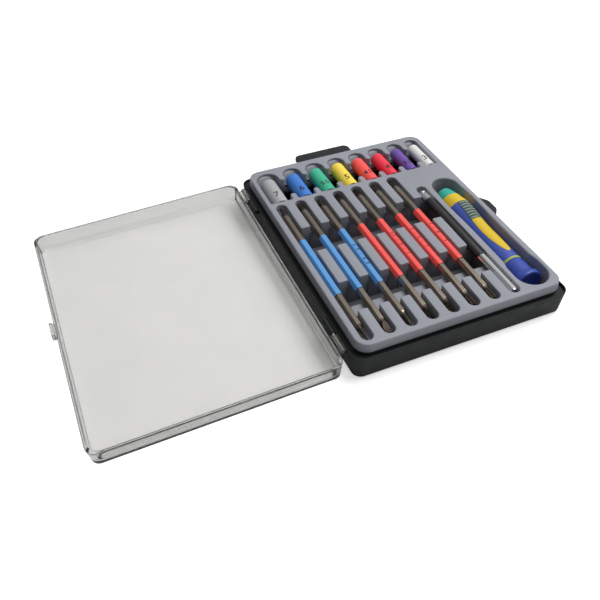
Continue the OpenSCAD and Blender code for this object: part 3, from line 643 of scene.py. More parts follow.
@dataclass(frozen=True)
class Studio:
    """Pale floor, soft lamps and the camera."""

    eye: Triple = (-172.44, -268.32, 266.99)
    azimuth: float = -23.31
    elevation: float = 44.40
    roll: float = 0.26
    lens: float = 41.984
    floor_half: float = 3.0
    room_dark: float = 0.1
    room_light: float = 0.58
    room_through: float = 0.8
    paper: float = 0.8
    paper_glow: float = 0.5
    paper_through: float = 0.2
    bright_side: Triple = (0.62, 0.36, 0.7)
    key_place: Triple = (0.45, 0.05, 1.0)
    key_size: float = 0.7
    key_watts: float = 9.4

    def camera(self) -> None:
        """Makes the camera from its place, its two angles and its roll."""
        a, e, r = (math.radians(v) for v in (self.azimuth, self.elevation, self.roll))
        back = Vector((math.sin(a) * math.cos(e), -math.cos(a) * math.cos(e), math.sin(e)))
        right = Vector((math.cos(a), math.sin(a), 0))
        up = back.cross(right)
        c, s = math.cos(r), math.sin(r)
        right, up = right * c + up * s, up * c - right * s
        made = put("camera", bpy.data.cameras.new("camera"))
        made.data.sensor_width = 36
        made.data.lens = self.lens
        made.data.clip_start, made.data.clip_end = 0.01, 20
        turn = Matrix((right, up, back)).transposed().to_4x4()
        made.matrix_world = Matrix.Translation(Vector(self.eye) * MM) @ turn
        bpy.context.scene.camera = made

    def lamp(self) -> None:
        """Adds the square soft lamp that looks at the case."""
        made = put("soft_key", bpy.data.lights.new("soft_key", "AREA"))
        made.data.size, made.data.energy = self.key_size, self.key_watts
        made.location = self.key_place
        aim = Vector((0.0, 0.0, 0.01)) - Vector(self.key_place)
        made.rotation_euler = aim.to_track_quat("-Z", "Y").to_euler()

    def world(self) -> None:
        """A soft room, lighter above and behind to the right, and white where the eye sees it."""
        made = bpy.data.worlds.new("room")
        bpy.context.scene.world = made
        made.use_nodes = True
        n = Nodes(made.node_tree)
        aim = n.node("VectorMath", {"operation": "DOT_PRODUCT"})
        n.feed(aim, {0: n.node("TexCoord").outputs["Generated"], 1: self.bright_side})
        soft = n.ramp(
            aim.outputs["Value"], -0.5, 1.0, self.room_dark, self.room_light, "SMOOTHSTEP"
        )
        path = n.node("LightPath").outputs
        through = n.combine("MULTIPLY", path["Is Transmission Ray"], self.room_through)
        seen = n.combine("MAXIMUM", path["Is Camera Ray"], through)
        level = n.node("Mix")
        n.feed(level, {0: seen, 2: soft, 3: 1.0})
        sky = made.node_tree.nodes["Background"]
        n.feed(sky, {"Color": (1, 1, 1, 1), "Strength": level.outputs[0]})

    def floor(self) -> None:
        """A pale floor that keeps a soft shadow and reads as white paper."""
        h = self.floor_half
        mesh = bpy.data.meshes.new("floor")
        mesh.from_pydata([(-h, -h, 0), (h, -h, 0), (h, h, 0), (-h, h, 0)], [], [(0, 1, 2, 3)])
        made = put("floor", mesh)
        made.location.z = -0.0001
        r = Recipe("floor_paper")
        paper = r.node("BsdfDiffuse", Color=(*[self.paper] * 3, 1))
        path = r.node("LightPath").outputs
        seen = r.combine(
            "MAXIMUM",
            r.ramp(path["Is Camera Ray"], 0, 1, 0.0, self.paper_glow),
            r.ramp(path["Is Transmission Ray"], 0, 1, 0.0, self.paper_through),
        )
        glow = r.node("Emission", Color=(1, 1, 1, 1), Strength=seen)
        both = r.node("AddShader")
        r.feed(both, {0: paper.outputs[0], 1: glow.outputs[0]})
        mesh.materials.append(r.finish(both))

    def build(self) -> None:
        """Sets up the whole studio."""
        bpy.context.scene.view_settings.view_transform = "Standard"
        self.camera()
        self.world()
        self.lamp()
        self.floor()


# ---------------------------------------------------------------- case, lid and tray


@dataclass
class CaseShell:
    """The black case: lip and lid groove, knuckles, hang tab and latch lip."""

    half_x: float = 62.7
    half_y: float = 81.0
    height: float = 14.2
    lean: float = 0.9
    corner: float = 6.0
    foot: float = 1.6
    lip: float = 0.65
    ledge: float = 12.6
    curb_x: float = 59.75
    curb_y: float = 78.25
    curb_r: float = 7.35
    curb_z: float = 15.1
    curb_t: float = 1.2
    floor: float = 1.8
    hinge_x: float = -64.4
    hinge_z: float = 13.4
    knuckle_r: float = 1.45
    knuckle_y: float = 48.0
    knuckle_len: float = 11.0
    pin_r: float = 0.75
    notch_y: float = 1.0
    notch_half: float = 5.3
    notch_z: float = 11.05
    notch_x: float = 64.2
    ear_near: float = 59.0
    ear_far: float = 72.3
    tab_x: float = -1.3
    tab_half: float = 19.3
    tab_out: float = 15.0
    flap_low: float = 10.6
    flap_top: float = 12.6

    def _lean(self, z: float) -> float:
        """How far the wall stands out at a height: it leans in towards the foot."""
        return -self.lean * (1 - z / self.height)

    def _shell(self, skin: Skin) -> None:
        """The tub: foot, wall and lip, ledge, curb and well, dipped at the notches."""
        line = self._with_notch_points(Outline.plate(self.half_x, self.half_y, self.corner))
        curb = Outline.plate(self.curb_x, self.curb_y, self.curb_r)
        h, foot, r = self.height, self.foot, 0.16
        prof = [(-self.lean - foot, 0.0)]
        prof += bend(self._lean(foot) - foot, foot, foot, -80, 0, 7)
        prof += [(self._lean(z), z) for z in (5.0, 9.0, h - 1.0)]
        prof += bend(-r, h - r, r, 0, 90, 3) + bend(-self.lip + r, h - r, r, 90, 180, 3)
        prof += [(-self.lip, self.ledge)]
        skin.grid(line.wall(prof))
        skin.patch(line.out(prof[0][0]), 0.0)
        skin.patch(line.out(-self.lip), self.ledge, [curb.out(0)])
        t, top = self.curb_t, self.curb_z
        prof = [(0.0, self.ledge), (0.0, top - 0.2)] + bend(-0.2, top - 0.2, 0.2, 20, 90, 3)
        prof += bend(0.2 - t, top - 0.2, 0.2, 90, 180, 3)
        prof += [(-t - d, self.floor + z) for d, z in ((0, 0.6), (0.18, 0.18), (0.6, 0))]
        skin.grid(curb.wall(prof))
        skin.patch(curb.out(prof[-1][0]), self.floor)
        skin.moved(self._dipped)

    def _dipped(self, pts: Array) -> Array:
        """Lowers the lip where the lid's catch and ears pass: z is held under a notch's floor."""
        x, y, z = pts.T
        bite = (np.abs(y - self.notch_y) < self.notch_half) & (x > 61.0)
        ears = (np.abs(y) > self.ear_near) & (np.abs(y) < self.ear_far)
        ears &= x < self.lip + 0.1 - self.half_x
        z = np.where(bite, np.minimum(z, self.notch_z), z)
        z = np.where(ears, np.minimum(z, self.hinge_z - 0.2), z)
        return np.stack([x, y, z], -1)

    def _with_notch_points(self, line: Outline) -> Outline:
        """The case's line with two close points at each end of each notch."""
        pts, outs = line.points, line.outward
        ears = [s * y for y in (self.ear_near, self.ear_far) for s in (-1, 1)]
        bite = [self.notch_y + s * self.notch_half for s in (-1, 1)]
        for side, ends in ((1, bite), (-1, ears)):
            at = int(np.argmax((side * pts[:, 0] > self.half_x - 1e-6) & (side * pts[:, 1] < 0)))
            ys = sorted((y + t for y in ends for t in (-0.03, 0.03)), reverse=side < 0)
            pts = np.insert(pts, at + 1, [[side * self.half_x, y] for y in ys], 0)
            outs = np.insert(outs, at + 1, np.tile([float(side), 0.0], (len(ys), 1)), 0)
        return Outline(pts, outs)

    def _hang_tab(self, skin: Skin) -> None:
        """A flat tab with rounded corners and a long hanging slot."""
        x, half = self.tab_x, self.tab_half
        near, far = self.half_y - 1.2, self.half_y + self.tab_out
        tab = Outline.rounded(
            [(x + half, near, 0.3), (x + half, far, 4), (x - half, far, 4), (x - half, near, 0.3)]
        )
        mid, reach, r = self.half_y + 5.1, 11, 2.5
        signs = ((1, -1), (1, 1), (-1, 1), (-1, -1))
        slot = Outline.rounded([(x + sx * reach, mid + sy * r, r - 0.01) for sx, sy in signs])
        skin.slab(tab, self.flap_low, self.flap_top, 0.35, [slot])

    def _latch_lip(self, skin: Skin) -> None:
        """A thumb lip whose outline narrows outwards, with the notch for the lid's catch."""
        y, x0, x1, mid = self.notch_y, 61.2, self.half_x + 7.6, self.half_x + 1
        side = [(x0, 13, 0.2), (mid, 13, 1.5), (x1 - 0.6, 5.2, 1.6), (x1, 3.6, 1.0)]
        corners = [(x, y - d, r) for x, d, r in side] + [(x, y + d, r) for x, d, r in side[::-1]]
        half = self.notch_half
        bite = Outline.between((61.6, self.notch_x), (y - half, y + half), 0.35)
        skin.slab(Outline.rounded(corners), self.flap_low, self.flap_top, 0.3, [bite])
        skin.slab(Outline.plate(1.8, 5.6, 0.3, 63.0, y), self.flap_low, self.notch_z, 0.05)

    def _knuckles(self, skin: Skin) -> None:
        """Two turned knuckles, each on a web that joins it to the wall."""
        for s in (-1, 1):
            near, far = s * self.knuckle_y, s * (self.knuckle_y + self.knuckle_len)
            r, p, e = self.knuckle_r, self.pin_r, 0.25
            prof = [(0, near), (r - e, near), (r, near + s * e), (r, far - s * e), (r - e, far)]
            prof += [(p, far), (p, near + s), (0, near + s)]
            skin.turned(self.hinge_x, self.hinge_z, prof, 32)
            web = Outline.between((self.hinge_x, 0.33 - self.half_x), (near, far), 0.2)
            skin.slab(web, self.hinge_z - r, self.hinge_z, 0.1)

    def build(self) -> None:
        """Makes the case and its hinge pins."""
        skin = Skin()
        self._shell(skin)
        self._hang_tab(skin)
        self._latch_lip(skin)
        self._knuckles(skin)
        skin.build("case_shell", "case", [Look.CASE], ["base_case"])
        pins = Skin()
        for s in (-1, 1):
            near, far, r = s * 49.0, s * 71.0, self.pin_r
            prof = [(0, near), (r - 0.1, near), (r, near + s * 0.1), (r, far - s * 0.2)]
            pins.turned(self.hinge_x, self.hinge_z, prof + [(r - 0.2, far), (0, far)], 24)
        pins.build("hinge_pin_pair", "case", [Look.PIN], ["hinge_pins"])


@dataclass
class ClearLid:
    """The clear lid, worked out shut and then swung open about the hinge."""

    half_x: float = 61.7
    half_y: float = 80.0
    rim_z: float = 12.65
    height: float = 9.85
    lean: float = 1.1
    wall: float = 1.2
    fillet: float = 1.8
    bead: float = 0.18
    plate: float = 1.4
    corner: float = 5.4
    edge: float = 1.0
    hinge_x: float = -64.4
    hinge_z: float = 13.4
    swing: float = -181.9734
    ear_r: float = 1.45
    ear_y: float = 59.3
    ear_len: float = 12.7
    bore: float = 0.8
    inner_corner: float = 8.0
    catch_y: float = 1.0
    catch_half: float = 5.0

    def _lean(self, z: float) -> float:
        """How far the wall stands out at a height: it leans in towards the plate."""
        return -self.lean * (z - self.rim_z) / self.height

    def _tub(self, skin: Skin) -> None:
        """Wall, rounded edge and plate outside; wall, fillet, bead and plate inside; the rim."""
        line = Outline.plate(self.half_x, self.half_y, self.corner)
        top, low, lean = self.rim_z + self.height, self.rim_z, self._lean
        e, r, w = self.edge, 0.2, self.wall
        outer = bend(-r, low + r, r, -90, 0, 3)
        outer += [(lean(z), z) for z in (low + 3, low + 6)]
        outer += bend(lean(top - e) - e, top - e, e, 0, 90, 6)
        under = top - self.plate
        inner = bend(-w + r, low + r, r, -90, -180, 3)
        inner += [(lean(z) - w, z) for z in (low + 3, low + 6)]
        f, b = self.fillet, self.bead
        inner += bend(lean(under - f) - w - f, under - f, f, 0, 90, 5)
        bead = ((0.3, 0), (0.6, b), (1.0, b), (1.3, 0))
        inner += [(inner[-1][0] - d, under - h) for d, h in bead]
        inside = Outline.plate(self.half_x, self.half_y, self.inner_corner)
        skin.grid(np.concatenate([inside.wall(inner[::-1]), line.wall(outer)]))
        skin.patch(line.out(outer[-1][0]), top)
        skin.patch(inside.out(inner[-1][0]), under)

    def _ears(self, skin: Skin) -> None:
        """Two turned ears with a blind bore, each on a web from the lid's wall."""
        for s in (-1, 1):
            near, far = s * self.ear_y, s * (self.ear_y + self.ear_len)
            r, b, e, end = self.ear_r, self.bore, 0.3, far - s * 0.7
            prof = [(0, far), (r - e, far), (r, far - s * e), (r, near + s * e), (r - e, near)]
            skin.turned(self.hinge_x, self.hinge_z, prof + [(b, near), (b, end), (0, end)], 32)
            web = Outline.between((self.hinge_x + 0.3, 0.6 - self.half_x), (near, far), 0.3)
            skin.slab(web, self.hinge_z + 0.2, self.hinge_z + r, 0.15)

    def _catch(self, skin: Skin) -> None:
        """The catch as two plates: one through the wall and one that hangs outside it."""
        y, half, low = self.catch_y, self.catch_half, self.rim_z
        skin.slab(Outline.plate(0.7, half, 0.3, self.half_x + 0.1, y), low + 0.12, low + 2.26, 0.1)
        hook = Outline.plate(0.86, half, 0.5, self.half_x + 1.34, y)
        skin.slab(hook, low - 1.3, low + 2.3, 0.3)

    def _opened(self, pts: Array) -> Array:
        """Points turned about the hinge by the swing: x' = x cos + z sin, z' = z cos - x sin."""
        c, s = math.cos(math.radians(self.swing)), math.sin(math.radians(self.swing))
        x, z = pts[:, 0] - self.hinge_x, pts[:, 2] - self.hinge_z
        turned = [self.hinge_x + x * c + z * s, pts[:, 1], self.hinge_z + z * c - x * s]
        return np.stack(turned, -1)

    def build(self) -> None:
        """Makes the lid with its ears and catch."""
        skin = Skin()
        self._tub(skin)
        self._ears(skin)
        self._catch(skin)
        skin.moved(self._opened)
        skin.build("clear_lid", "lid", [Look.LID], ["lid"])


@dataclass
class ToolTray:
    """The grey tray: deck, skirt, blade slots and trenches, socket bays and handle recess."""

    half_x: float = 59.4
    half_y: float = 77.9
    deck: float = 20.3
    corner: float = 7.0
    edge: float = 0.8
    lean: float = 0.45
    skirt_z: float = 15.15
    plug_in: float = 1.05
    foot: float = 1.8
    skin_t: float = 0.8
    slot_x0: float = -52.6
    pitch: float = 12.08
    slot_w: float = 6.5
    ext_w: float = 6.2
    slot_back: float = 40.7
    slot_front: float = -74.7
    ext_back: float = 25.1
    trench_1: tuple[float, float] = (15.7, -5.1)
    trench_2: tuple[float, float] = (-33.1, -54.6)
    strip: float = 8.0
    slot_floor: float = 15.55
    slab_low: float = 1.9
    trench_floor: float = 3.2
    bay_w: tuple[float, ...] = (14, 11.5, 11.9, 11.1, 10.6, 10.4, 9.9, 8.4)
    bay_x0: float = -56.7
    post: float = 3.5
    bay_front: float = 43.4
    post_back: float = 48.9
    finger_front: float = 64.2
    bay_back: float = 73.6
    socket_dia: tuple[float, ...] = (10.1, 9.5, 9.3, 9.1, 8.5, 8.3, 7.5, 7.1)
    bay_low: float = 9.2
    scoop_low: float = 13.0
    scoop_len: float = 6.1
    recess_x: float = 47.4
    recess_floor: float = 4.3
    lip_r: float = 0.55
    bay_lip: float = 0.5
    recess_lip: float = 1.0
    recess_y: tuple[float, float] = (-74.2, 27.9)
    stations: tuple[tuple[float, float], ...] = (
        (20.6, 8.1), (3.85, 8.8), (-22.9, 8.1), (-51.1, 8.1), (-58.5, 9.3),
    )

    def _lean(self, z: float) -> float:
        """How far the skirt stands out at a height: it spreads from the deck down."""
        return self.lean * (self.deck - z) / (self.deck - self.skirt_z)

    def slot_centres(self) -> list[tuple[float, float, float]]:
        """Middle, width and back end of each slot, the extension bar's last."""
        rows = [(self.slot_x0 + i * self.pitch, self.slot_w, self.slot_back) for i in range(7)]
        return rows + [(self.slot_x0 + 7 * self.pitch, self.ext_w, self.ext_back)]

    def bays(self) -> list[tuple[float, float]]:
        """Left and right edge of each socket bay."""
        rows, x = [], self.bay_x0
        for w in self.bay_w:
            rows.append((x, x + w))
            x += w + self.post
        return rows

    @staticmethod
    def _toothed(
        teeth: Sequence[tuple[float, ...]], low: float, high: float, r: float
    ) -> Outline:
        """A band across the tray with teeth in front and behind.

        Args:
            teeth: each tooth's left and right edge, front end and corner radius there, and
                back end and corner radius there.
            low, high: the band's front and back edge.
            r: radius of the corners between two teeth.

        Returns:
            The outline, round the front teeth to the right and round the back ones to the left.
        """
        corners, last = [], len(teeth) - 1
        for k, (a, b, front, e, _, _) in enumerate(teeth):
            row = [(a, low, r), (a, front, e), (b, front, e), (b, low, r)]
            corners += row[0 if k else 1 : 4 if k < last else 3]
        for k, (a, b, _, _, back, e) in reversed(list(enumerate(teeth))):
            row = [(b, high, r), (b, back, e), (a, back, e), (a, high, r)]
            corners += row[0 if k < last else 1 : 4 if k else 3]
        return Outline.rounded(corners)

    def comb(self) -> Outline:
        """The slots and trenches as one opening; the ribs' ends have small rounded corners."""
        teeth = []
        for x, w, back in self.slot_centres():
            e = w / 2 - 0.01
            teeth.append((x - w / 2, x + w / 2, self.slot_front, e, back, e))
        return self._toothed(teeth, self.trench_2[1], self.trench_1[0], 1.0)

    def blocks(self) -> list[Outline]:
        """The seven blocks that stand between the trenches."""
        slots, rows = self.slot_centres(), []
        ends = (self.trench_2[0], self.trench_1[1])
        for (xa, wa, _), (xb, wb, _) in zip(slots, slots[1:]):
            rows.append(Outline.between((xa + wa / 2, xb - wb / 2), ends, 0.9))
        return rows

    def socket_opening(self) -> Outline:
        """Bays, posts, cross trench, fingers and arches as one opening."""
        teeth = [
            (a, b, self.bay_front, 0.8, self.bay_back, (b - a) / 2 - 0.01) for a, b in self.bays()
        ]
        return self._toothed(teeth, self.post_back, self.finger_front, self.post / 2 - 0.02)

    def _recess_half(self, y: Array) -> Array:
        """Half width of the recess at y, eased from station to station."""
        stations = np.array(self.stations)
        out = np.where(y > stations[0, 0], stations[0, 1], stations[-1, 1])
        for (y0, h0), (y1, h1) in zip(stations, stations[1:]):
            t = (y - y0) / (y1 - y0)
            out = np.where((t >= 0) & (t <= 1), h0 + (h1 - h0) * ease(t), out)
        return out

    def recess(self) -> Outline:
        """The handle's recess: two waved sides that mirror each other, and round ends."""
        r_back, r_front = self.stations[0][1], self.stations[-1][1]
        low, high = self.recess_y[0] + r_front, self.recess_y[1] - r_back
        y = np.linspace(low, high, 80)
        side = np.stack([self.recess_x + self._recess_half(y), y], -1)
        a = np.linspace(0, np.pi, 31)[1:-1]
        out = np.stack([np.cos(a), np.sin(a)], -1)
        back = np.array([self.recess_x, high]) + r_back * out
        front = np.array([self.recess_x, low]) - r_front * out
        mirror = side[::-1] * [-1, 1] + [2 * self.recess_x, 0]
        return Outline.smooth(np.concatenate([side, back, mirror, front]))

    def _pocket(self, skin: Skin, line: Outline, low: float, under: float, lip: float) -> None:
        """A pocket's wall: rounded deck edge, inside, foot ring, and outside up to the deck."""
        prof = bend(lip, self.deck - lip, lip, 90, 180, 5)
        prof += [(-0.08, low + 0.2), (0.1, low), (self.skin_t, low), (self.skin_t, under)]
        skin.grid(line.wall(prof))

    def _deck_and_skirt(self, skin: Skin) -> None:
        """Top face, rounded shoulder, skirt and its inside, with the three openings cut."""
        body = Outline.plate(self.half_x, self.half_y, self.corner)
        e, under = self.edge, self.deck - 1.4
        inside, plug = -1.6, -self.plug_in
        low, foot = self.skirt_z, self.foot
        prof = bend(self._lean(self.deck - e) - e, self.deck - e, e, 90, 0, 8)
        prof += [(self._lean(17), 17.0), (self.lean, low + 0.08), (self.lean - 0.08, low)]
        prof += [(plug, low), (plug, foot + 0.2), (plug - 0.2, foot), (inside, foot)]
        prof += [(inside, under)]
        skin.grid(body.wall(prof))
        comb, bays, recess = self.comb(), self.socket_opening(), self.recess()
        lips = [(comb, self.lip_r), (bays, self.bay_lip), (recess, self.recess_lip)]
        skin.patch(body.out(prof[0][0]), self.deck, [o.out(r) for o, r in lips])
        skin.patch(body.out(inside), under, [o.out(self.skin_t) for o, _ in lips])
        self._pocket(skin, comb, self.slab_low, under, self.lip_r)
        self._pocket(skin, bays, self.bay_low, under, self.bay_lip)
        floor, lip = self.recess_floor, self.recess_lip
        prof = bend(lip, self.deck - lip, lip, 90, 180, 7)
        prof += [(-0.15, floor + 4.5)] + bend(-4.6, floor + 4.4, 4.4, 0, -90, 8)
        skin.grid(recess.wall(prof))
        skin.patch(recess.out(prof[-1][0]), floor)
        out, inner, base = self.skin_t, -3.0, floor - 1.2
        skin.grid(recess.wall([(out, under), (out, floor + 2.2), (inner, base)]))
        skin.patch(recess.out(inner), base)

    def _floors(self, skin: Skin) -> None:
        """Slot floors in three stretches, the blocks, and the two lands under each socket."""
        right = self.slot_centres()[-1][0] + self.ext_w / 2
        near = self.trench_2[1] + 0.2
        for k, (x, w, back) in enumerate(self.slot_centres()):
            sides, e = (x - w / 2, x + w / 2), w / 2 - 0.05
            low = self.slab_low + 0.01 * k / 8
            rear = Outline.strip(sides, (self.trench_1[0], back), (0.3, e))
            middle = Outline.strip(sides, (self.trench_2[0], self.trench_1[1]), (0.3, 0.3))
            skin.slab(rear, low, self.slot_floor, 0.25).slab(middle, low, self.slot_floor, 0.25)
            line = Outline.strip(sides, (self.slot_front, near), (e, 0.1))
            skin.slab(line, self.slab_low + 0.02, self.slot_floor, 0.02)
        left = self.slot_x0 - self.slot_w / 2
        sides, edge = (left, right), self.trench_2[1] + self.strip
        shelf = Outline.between(sides, (edge - self.strip - 0.8, edge), 0.1)
        skin.slab(shelf, self.slab_low + 0.03, self.slot_floor, 0.9, low_edge=0.1)
        for back, front in (self.trench_1, (self.trench_2[0], edge)):
            floor = Outline.between(sides, (front - 0.3, back + 0.3), 0.3)
            skin.slab(floor, self.slab_low - 0.06, self.trench_floor, 0.1)
        r, low = 0.5, self.slab_low - 0.04
        for block in self.blocks():
            skin.grid(block.wall(bend(-r, self.deck - r, r, 90, 0, 5) + [(0.05, low)]))
            skin.patch(block.out(-r), self.deck).patch(block.out(0.05), low)
        for (a, b), dia in zip(self.bays(), self.socket_dia):
            floor, e = self.deck + 0.5 - dia - 0.1, (b - a) / 2 - 0.05
            front = Outline.strip((a, b), (self.bay_front, self.post_back), (0.7, 0.4))
            back = Outline.strip((a, b), (self.finger_front, self.bay_back), (0.4, e))
            for land in (front, back):
                skin.slab(land, self.bay_low + 0.02, floor, 0.3)

    def _scoops(self, skin: Skin) -> None:
        """A slope for a fingertip at the back of each bay, eased from the wall to the socket."""
        front, y_end = self.bay_back - self.scoop_len, self.bay_back - 0.1
        y, u = np.linspace(front, y_end, 15), np.linspace(-1, 1, 11)
        rise = self.deck - 1.6 - self.scoop_low
        top = self.scoop_low + rise * ease((y - front) / (y_end - front))
        for a, b in self.bays():
            r, mid = (b - a) / 2 - 0.02, (a + b) / 2
            past = np.maximum(y - (self.bay_back - r), 0)
            half = np.sqrt(np.maximum(r * r - past * past, 0.01))
            across = mid + half[:, None] * np.concatenate([[-1], u, [1]])
            rows = np.stack(np.broadcast_arrays(across, y[:, None], top[:, None]), -1).copy()
            rows[:, [0, -1], 2] = self.bay_low + 0.1
            ends = [np.broadcast_to(rows[k].mean(axis=0), rows[:1].shape) for k in (0, -1)]
            skin.grid(np.concatenate([ends[0], rows, ends[1]]))

    def build(self) -> None:
        """Makes the tray."""
        skin = Skin()
        self._deck_and_skirt(skin)
        self._floors(skin)
        self._scoops(skin)
        skin.build("moulded_tray", "case", [Look.TRAY], ["tool_tray"])


# ---------------------------------------------------------------- tools


def hex_section(apothem: float, corner: float, angle: Array) -> Array:
    """Radius of a hexagon with a flat on top whose corners are cut to a circle, at each angle."""
    turn = np.mod(angle, math.pi / 3) - math.pi / 6
    return np.minimum(apothem / np.cos(turn), corner)


def shaft(
    x: float, z: float, angle: Array, rows: Sequence[tuple[float, Array]], closed: bool = False
) -> Skin:
    """A shape along Y from rows of y and radius at each angle; closed joins its ends."""
    y, radius = np.array([row[0] for row in rows]), np.stack([row[1] for row in rows])
    return Skin().grid(along_y(x, z, y, angle, radius), closed=closed)


def rolled_tube(
    x: float,
    z: float,
    ends: tuple[float, float],
    angle: Array,
    outer: Array,
    inner: Array,
    rolled: Profile,
) -> Skin:
    """A tube along Y whose ends roll in.

    Args:
        x, z: where its axis is.
        ends: y of its front and back end.
        angle: angles round the axis.
        outer, inner: outside and inside radius at each angle.
        rolled: pairs of distance in from an end and fall of the outside there.

    Returns:
        A closed skin: the outside from front to back, then the bore.
    """
    (front, back), steps = ends, np.array(rolled, float)
    y = np.concatenate([front + steps[:, 0], back - steps[::-1, 0], [back, front]])
    fall = np.concatenate([steps[:, 1], steps[::-1, 1]])
    radius = np.concatenate([outer[None] - fall[:, None], [inner, inner]])
    return Skin().grid(along_y(x, z, y, angle, radius), closed=True)


class Tip(Enum):
    """The shapes of a blade's ends."""

    POINT = "point"
    FLAT = "flat"
    CROSS = "cross"
    STAR = "star"


@dataclass
class Blade:
    """A double-ended hexagonal blade with its coloured sleeve and size marks."""

    index: int
    tip: Tip
    marks: str
    look: Look
    ink: Look
    shift: float
    neck_r: float
    x0: float = -52.6
    pitch: float = 12.08
    z: float = 17.9
    front: float = -72.4
    back: float = 39.7
    tip_len: float = 8.5
    shoulder: float = 0.9
    sleeve_back: float = 6.6
    sleeve_len: float = 46.6
    flat: float = 2.25

    @property
    def x(self) -> float:
        """The blade's place across the tray."""
        return self.x0 + self.index * self.pitch

    def _tip_radius(self, kind: Tip, t: Array, angle: Array) -> Array:
        """Radius of a tip's section.

        Args:
            kind: the tip's shape.
            t: 0 at the shoulder, 1 at the end, as a column.
            angle: angles round the axis, as a row.

        Returns:
            Point: a circle that tapers. Flat: a circle, pressed flat afterwards. Cross: a blunt
            end with four flutes, 1 - depth * |sin 2a|. Star: six shallow flutes.
        """
        a, r = angle[None], self.neck_r
        if kind is Tip.POINT:
            step = [r, r, r - 0.12, r - 0.12, 0.55, 0.4]
            return np.interp(t, [0, 0.5, 0.54, 0.69, 0.97, 1], step) + 0 * a
        if kind is Tip.FLAT:
            return np.interp(t, [0, 0.96, 1], [r, r, r - 0.1]) + 0 * a
        taper = np.interp(t, [0, 0.86, 0.95, 1], [r, r, 1.45, 1.1])
        if kind is Tip.CROSS:
            flute = np.interp(t, [0, 0.2, 0.42, 1], [0, 0, 0.3, 0.42])
            return taper * (1 - flute * np.abs(np.sin(2 * a)) ** 0.8)
        flute = np.interp(t, [0, 0.2, 0.34, 1], [0, 0, 0.24, 0.24])
        return taper * (1 - flute * (0.5 + 0.5 * np.cos(6 * a)))

    def bar(self) -> Skin:
        """The bar: one grid whose section goes tip, shoulder, hexagon, shoulder, tip."""
        angle, t = circle(), np.linspace(1, 0, 20)[:, None]
        hexed = hex_section(BAR, 2.24, angle)
        cone = np.stack([np.minimum(hexed, self.neck_r + 0.15), hexed])
        collar = self.sleeve_back - self.sleeve_len
        rows_y, rows_r = [], []
        for side, end in ((-1, self.front), (1, self.back)):
            root = end - side * self.tip_len
            ys = end - side * self.tip_len * (1 - t[:, 0])
            ys = np.concatenate([ys, [root, root - side * self.shoulder]])
            rs = np.concatenate([self._tip_radius(self.tip, t, angle), cone])
            if side < 0:
                groove = np.array([0, 0.32, 0.32, 0])[:, None]
                ys = np.concatenate([ys, collar - np.array([0.8, 0.65, 0.15, 0.0])])
                rs = np.concatenate([rs, hexed[None] - groove])
            rows_y.append(ys[::-side])
            rows_r.append(rs[::-side])
        y, r = np.concatenate(rows_y), np.concatenate(rows_r)
        y = np.concatenate([[y[0]], y, [y[-1]]])
        r = np.pad(r, ((1, 1), (0, 0)))
        grid = along_y(self.x, self.z, y, angle, r)
        if self.tip is Tip.FLAT:
            into = np.minimum(y - self.front, self.back - y) / self.tip_len
            half = np.interp(into, [0, 0.28, 0.7, 1], [0.33, 0.38, 1.6, 2.3])[:, None]
            grid[..., 2] = self.z + np.clip(grid[..., 2] - self.z, -half, half)
        return Skin().grid(grid)

    def sleeve(self) -> Skin:
        """The sleeve: rounded hexagonal tube, its ends rolled in to the bar."""
        angle = circle()
        outer, inner = hex_section(self.flat, 2.5, angle), hex_section(BAR, 2.26, angle)
        front, back = self.sleeve_back - self.sleeve_len, self.sleeve_back + self.shift
        rolled = ((0, 0.24), (0, 0.14), (0.12, 0.04), (0.35, 0), (0.8, 0))
        return rolled_tube(self.x, self.z, (front, back), angle, outer, inner, rolled)

    def build(self) -> None:
        """Makes the bar, its sleeve and its marks."""
        n, body = self.index + 1, f"blade_{self.index + 1}"
        self.bar().build(f"blade_bar_{n}", body, [Look.BLADE], [f"blade_{n}"], 14)
        self.sleeve().build(f"blade_grip_{n}", body, [self.look], [f"blade_sleeve_{n}"], 34)
        if self.marks:
            place = (self.x, self.sleeve_back - self.sleeve_len / 2, self.z + self.flat)
            marks = Lettering(self.marks, 2.9, 1.7, self.ink)
            marks.on_flat(f"blade_marks_{n}", body, place, 1.3)


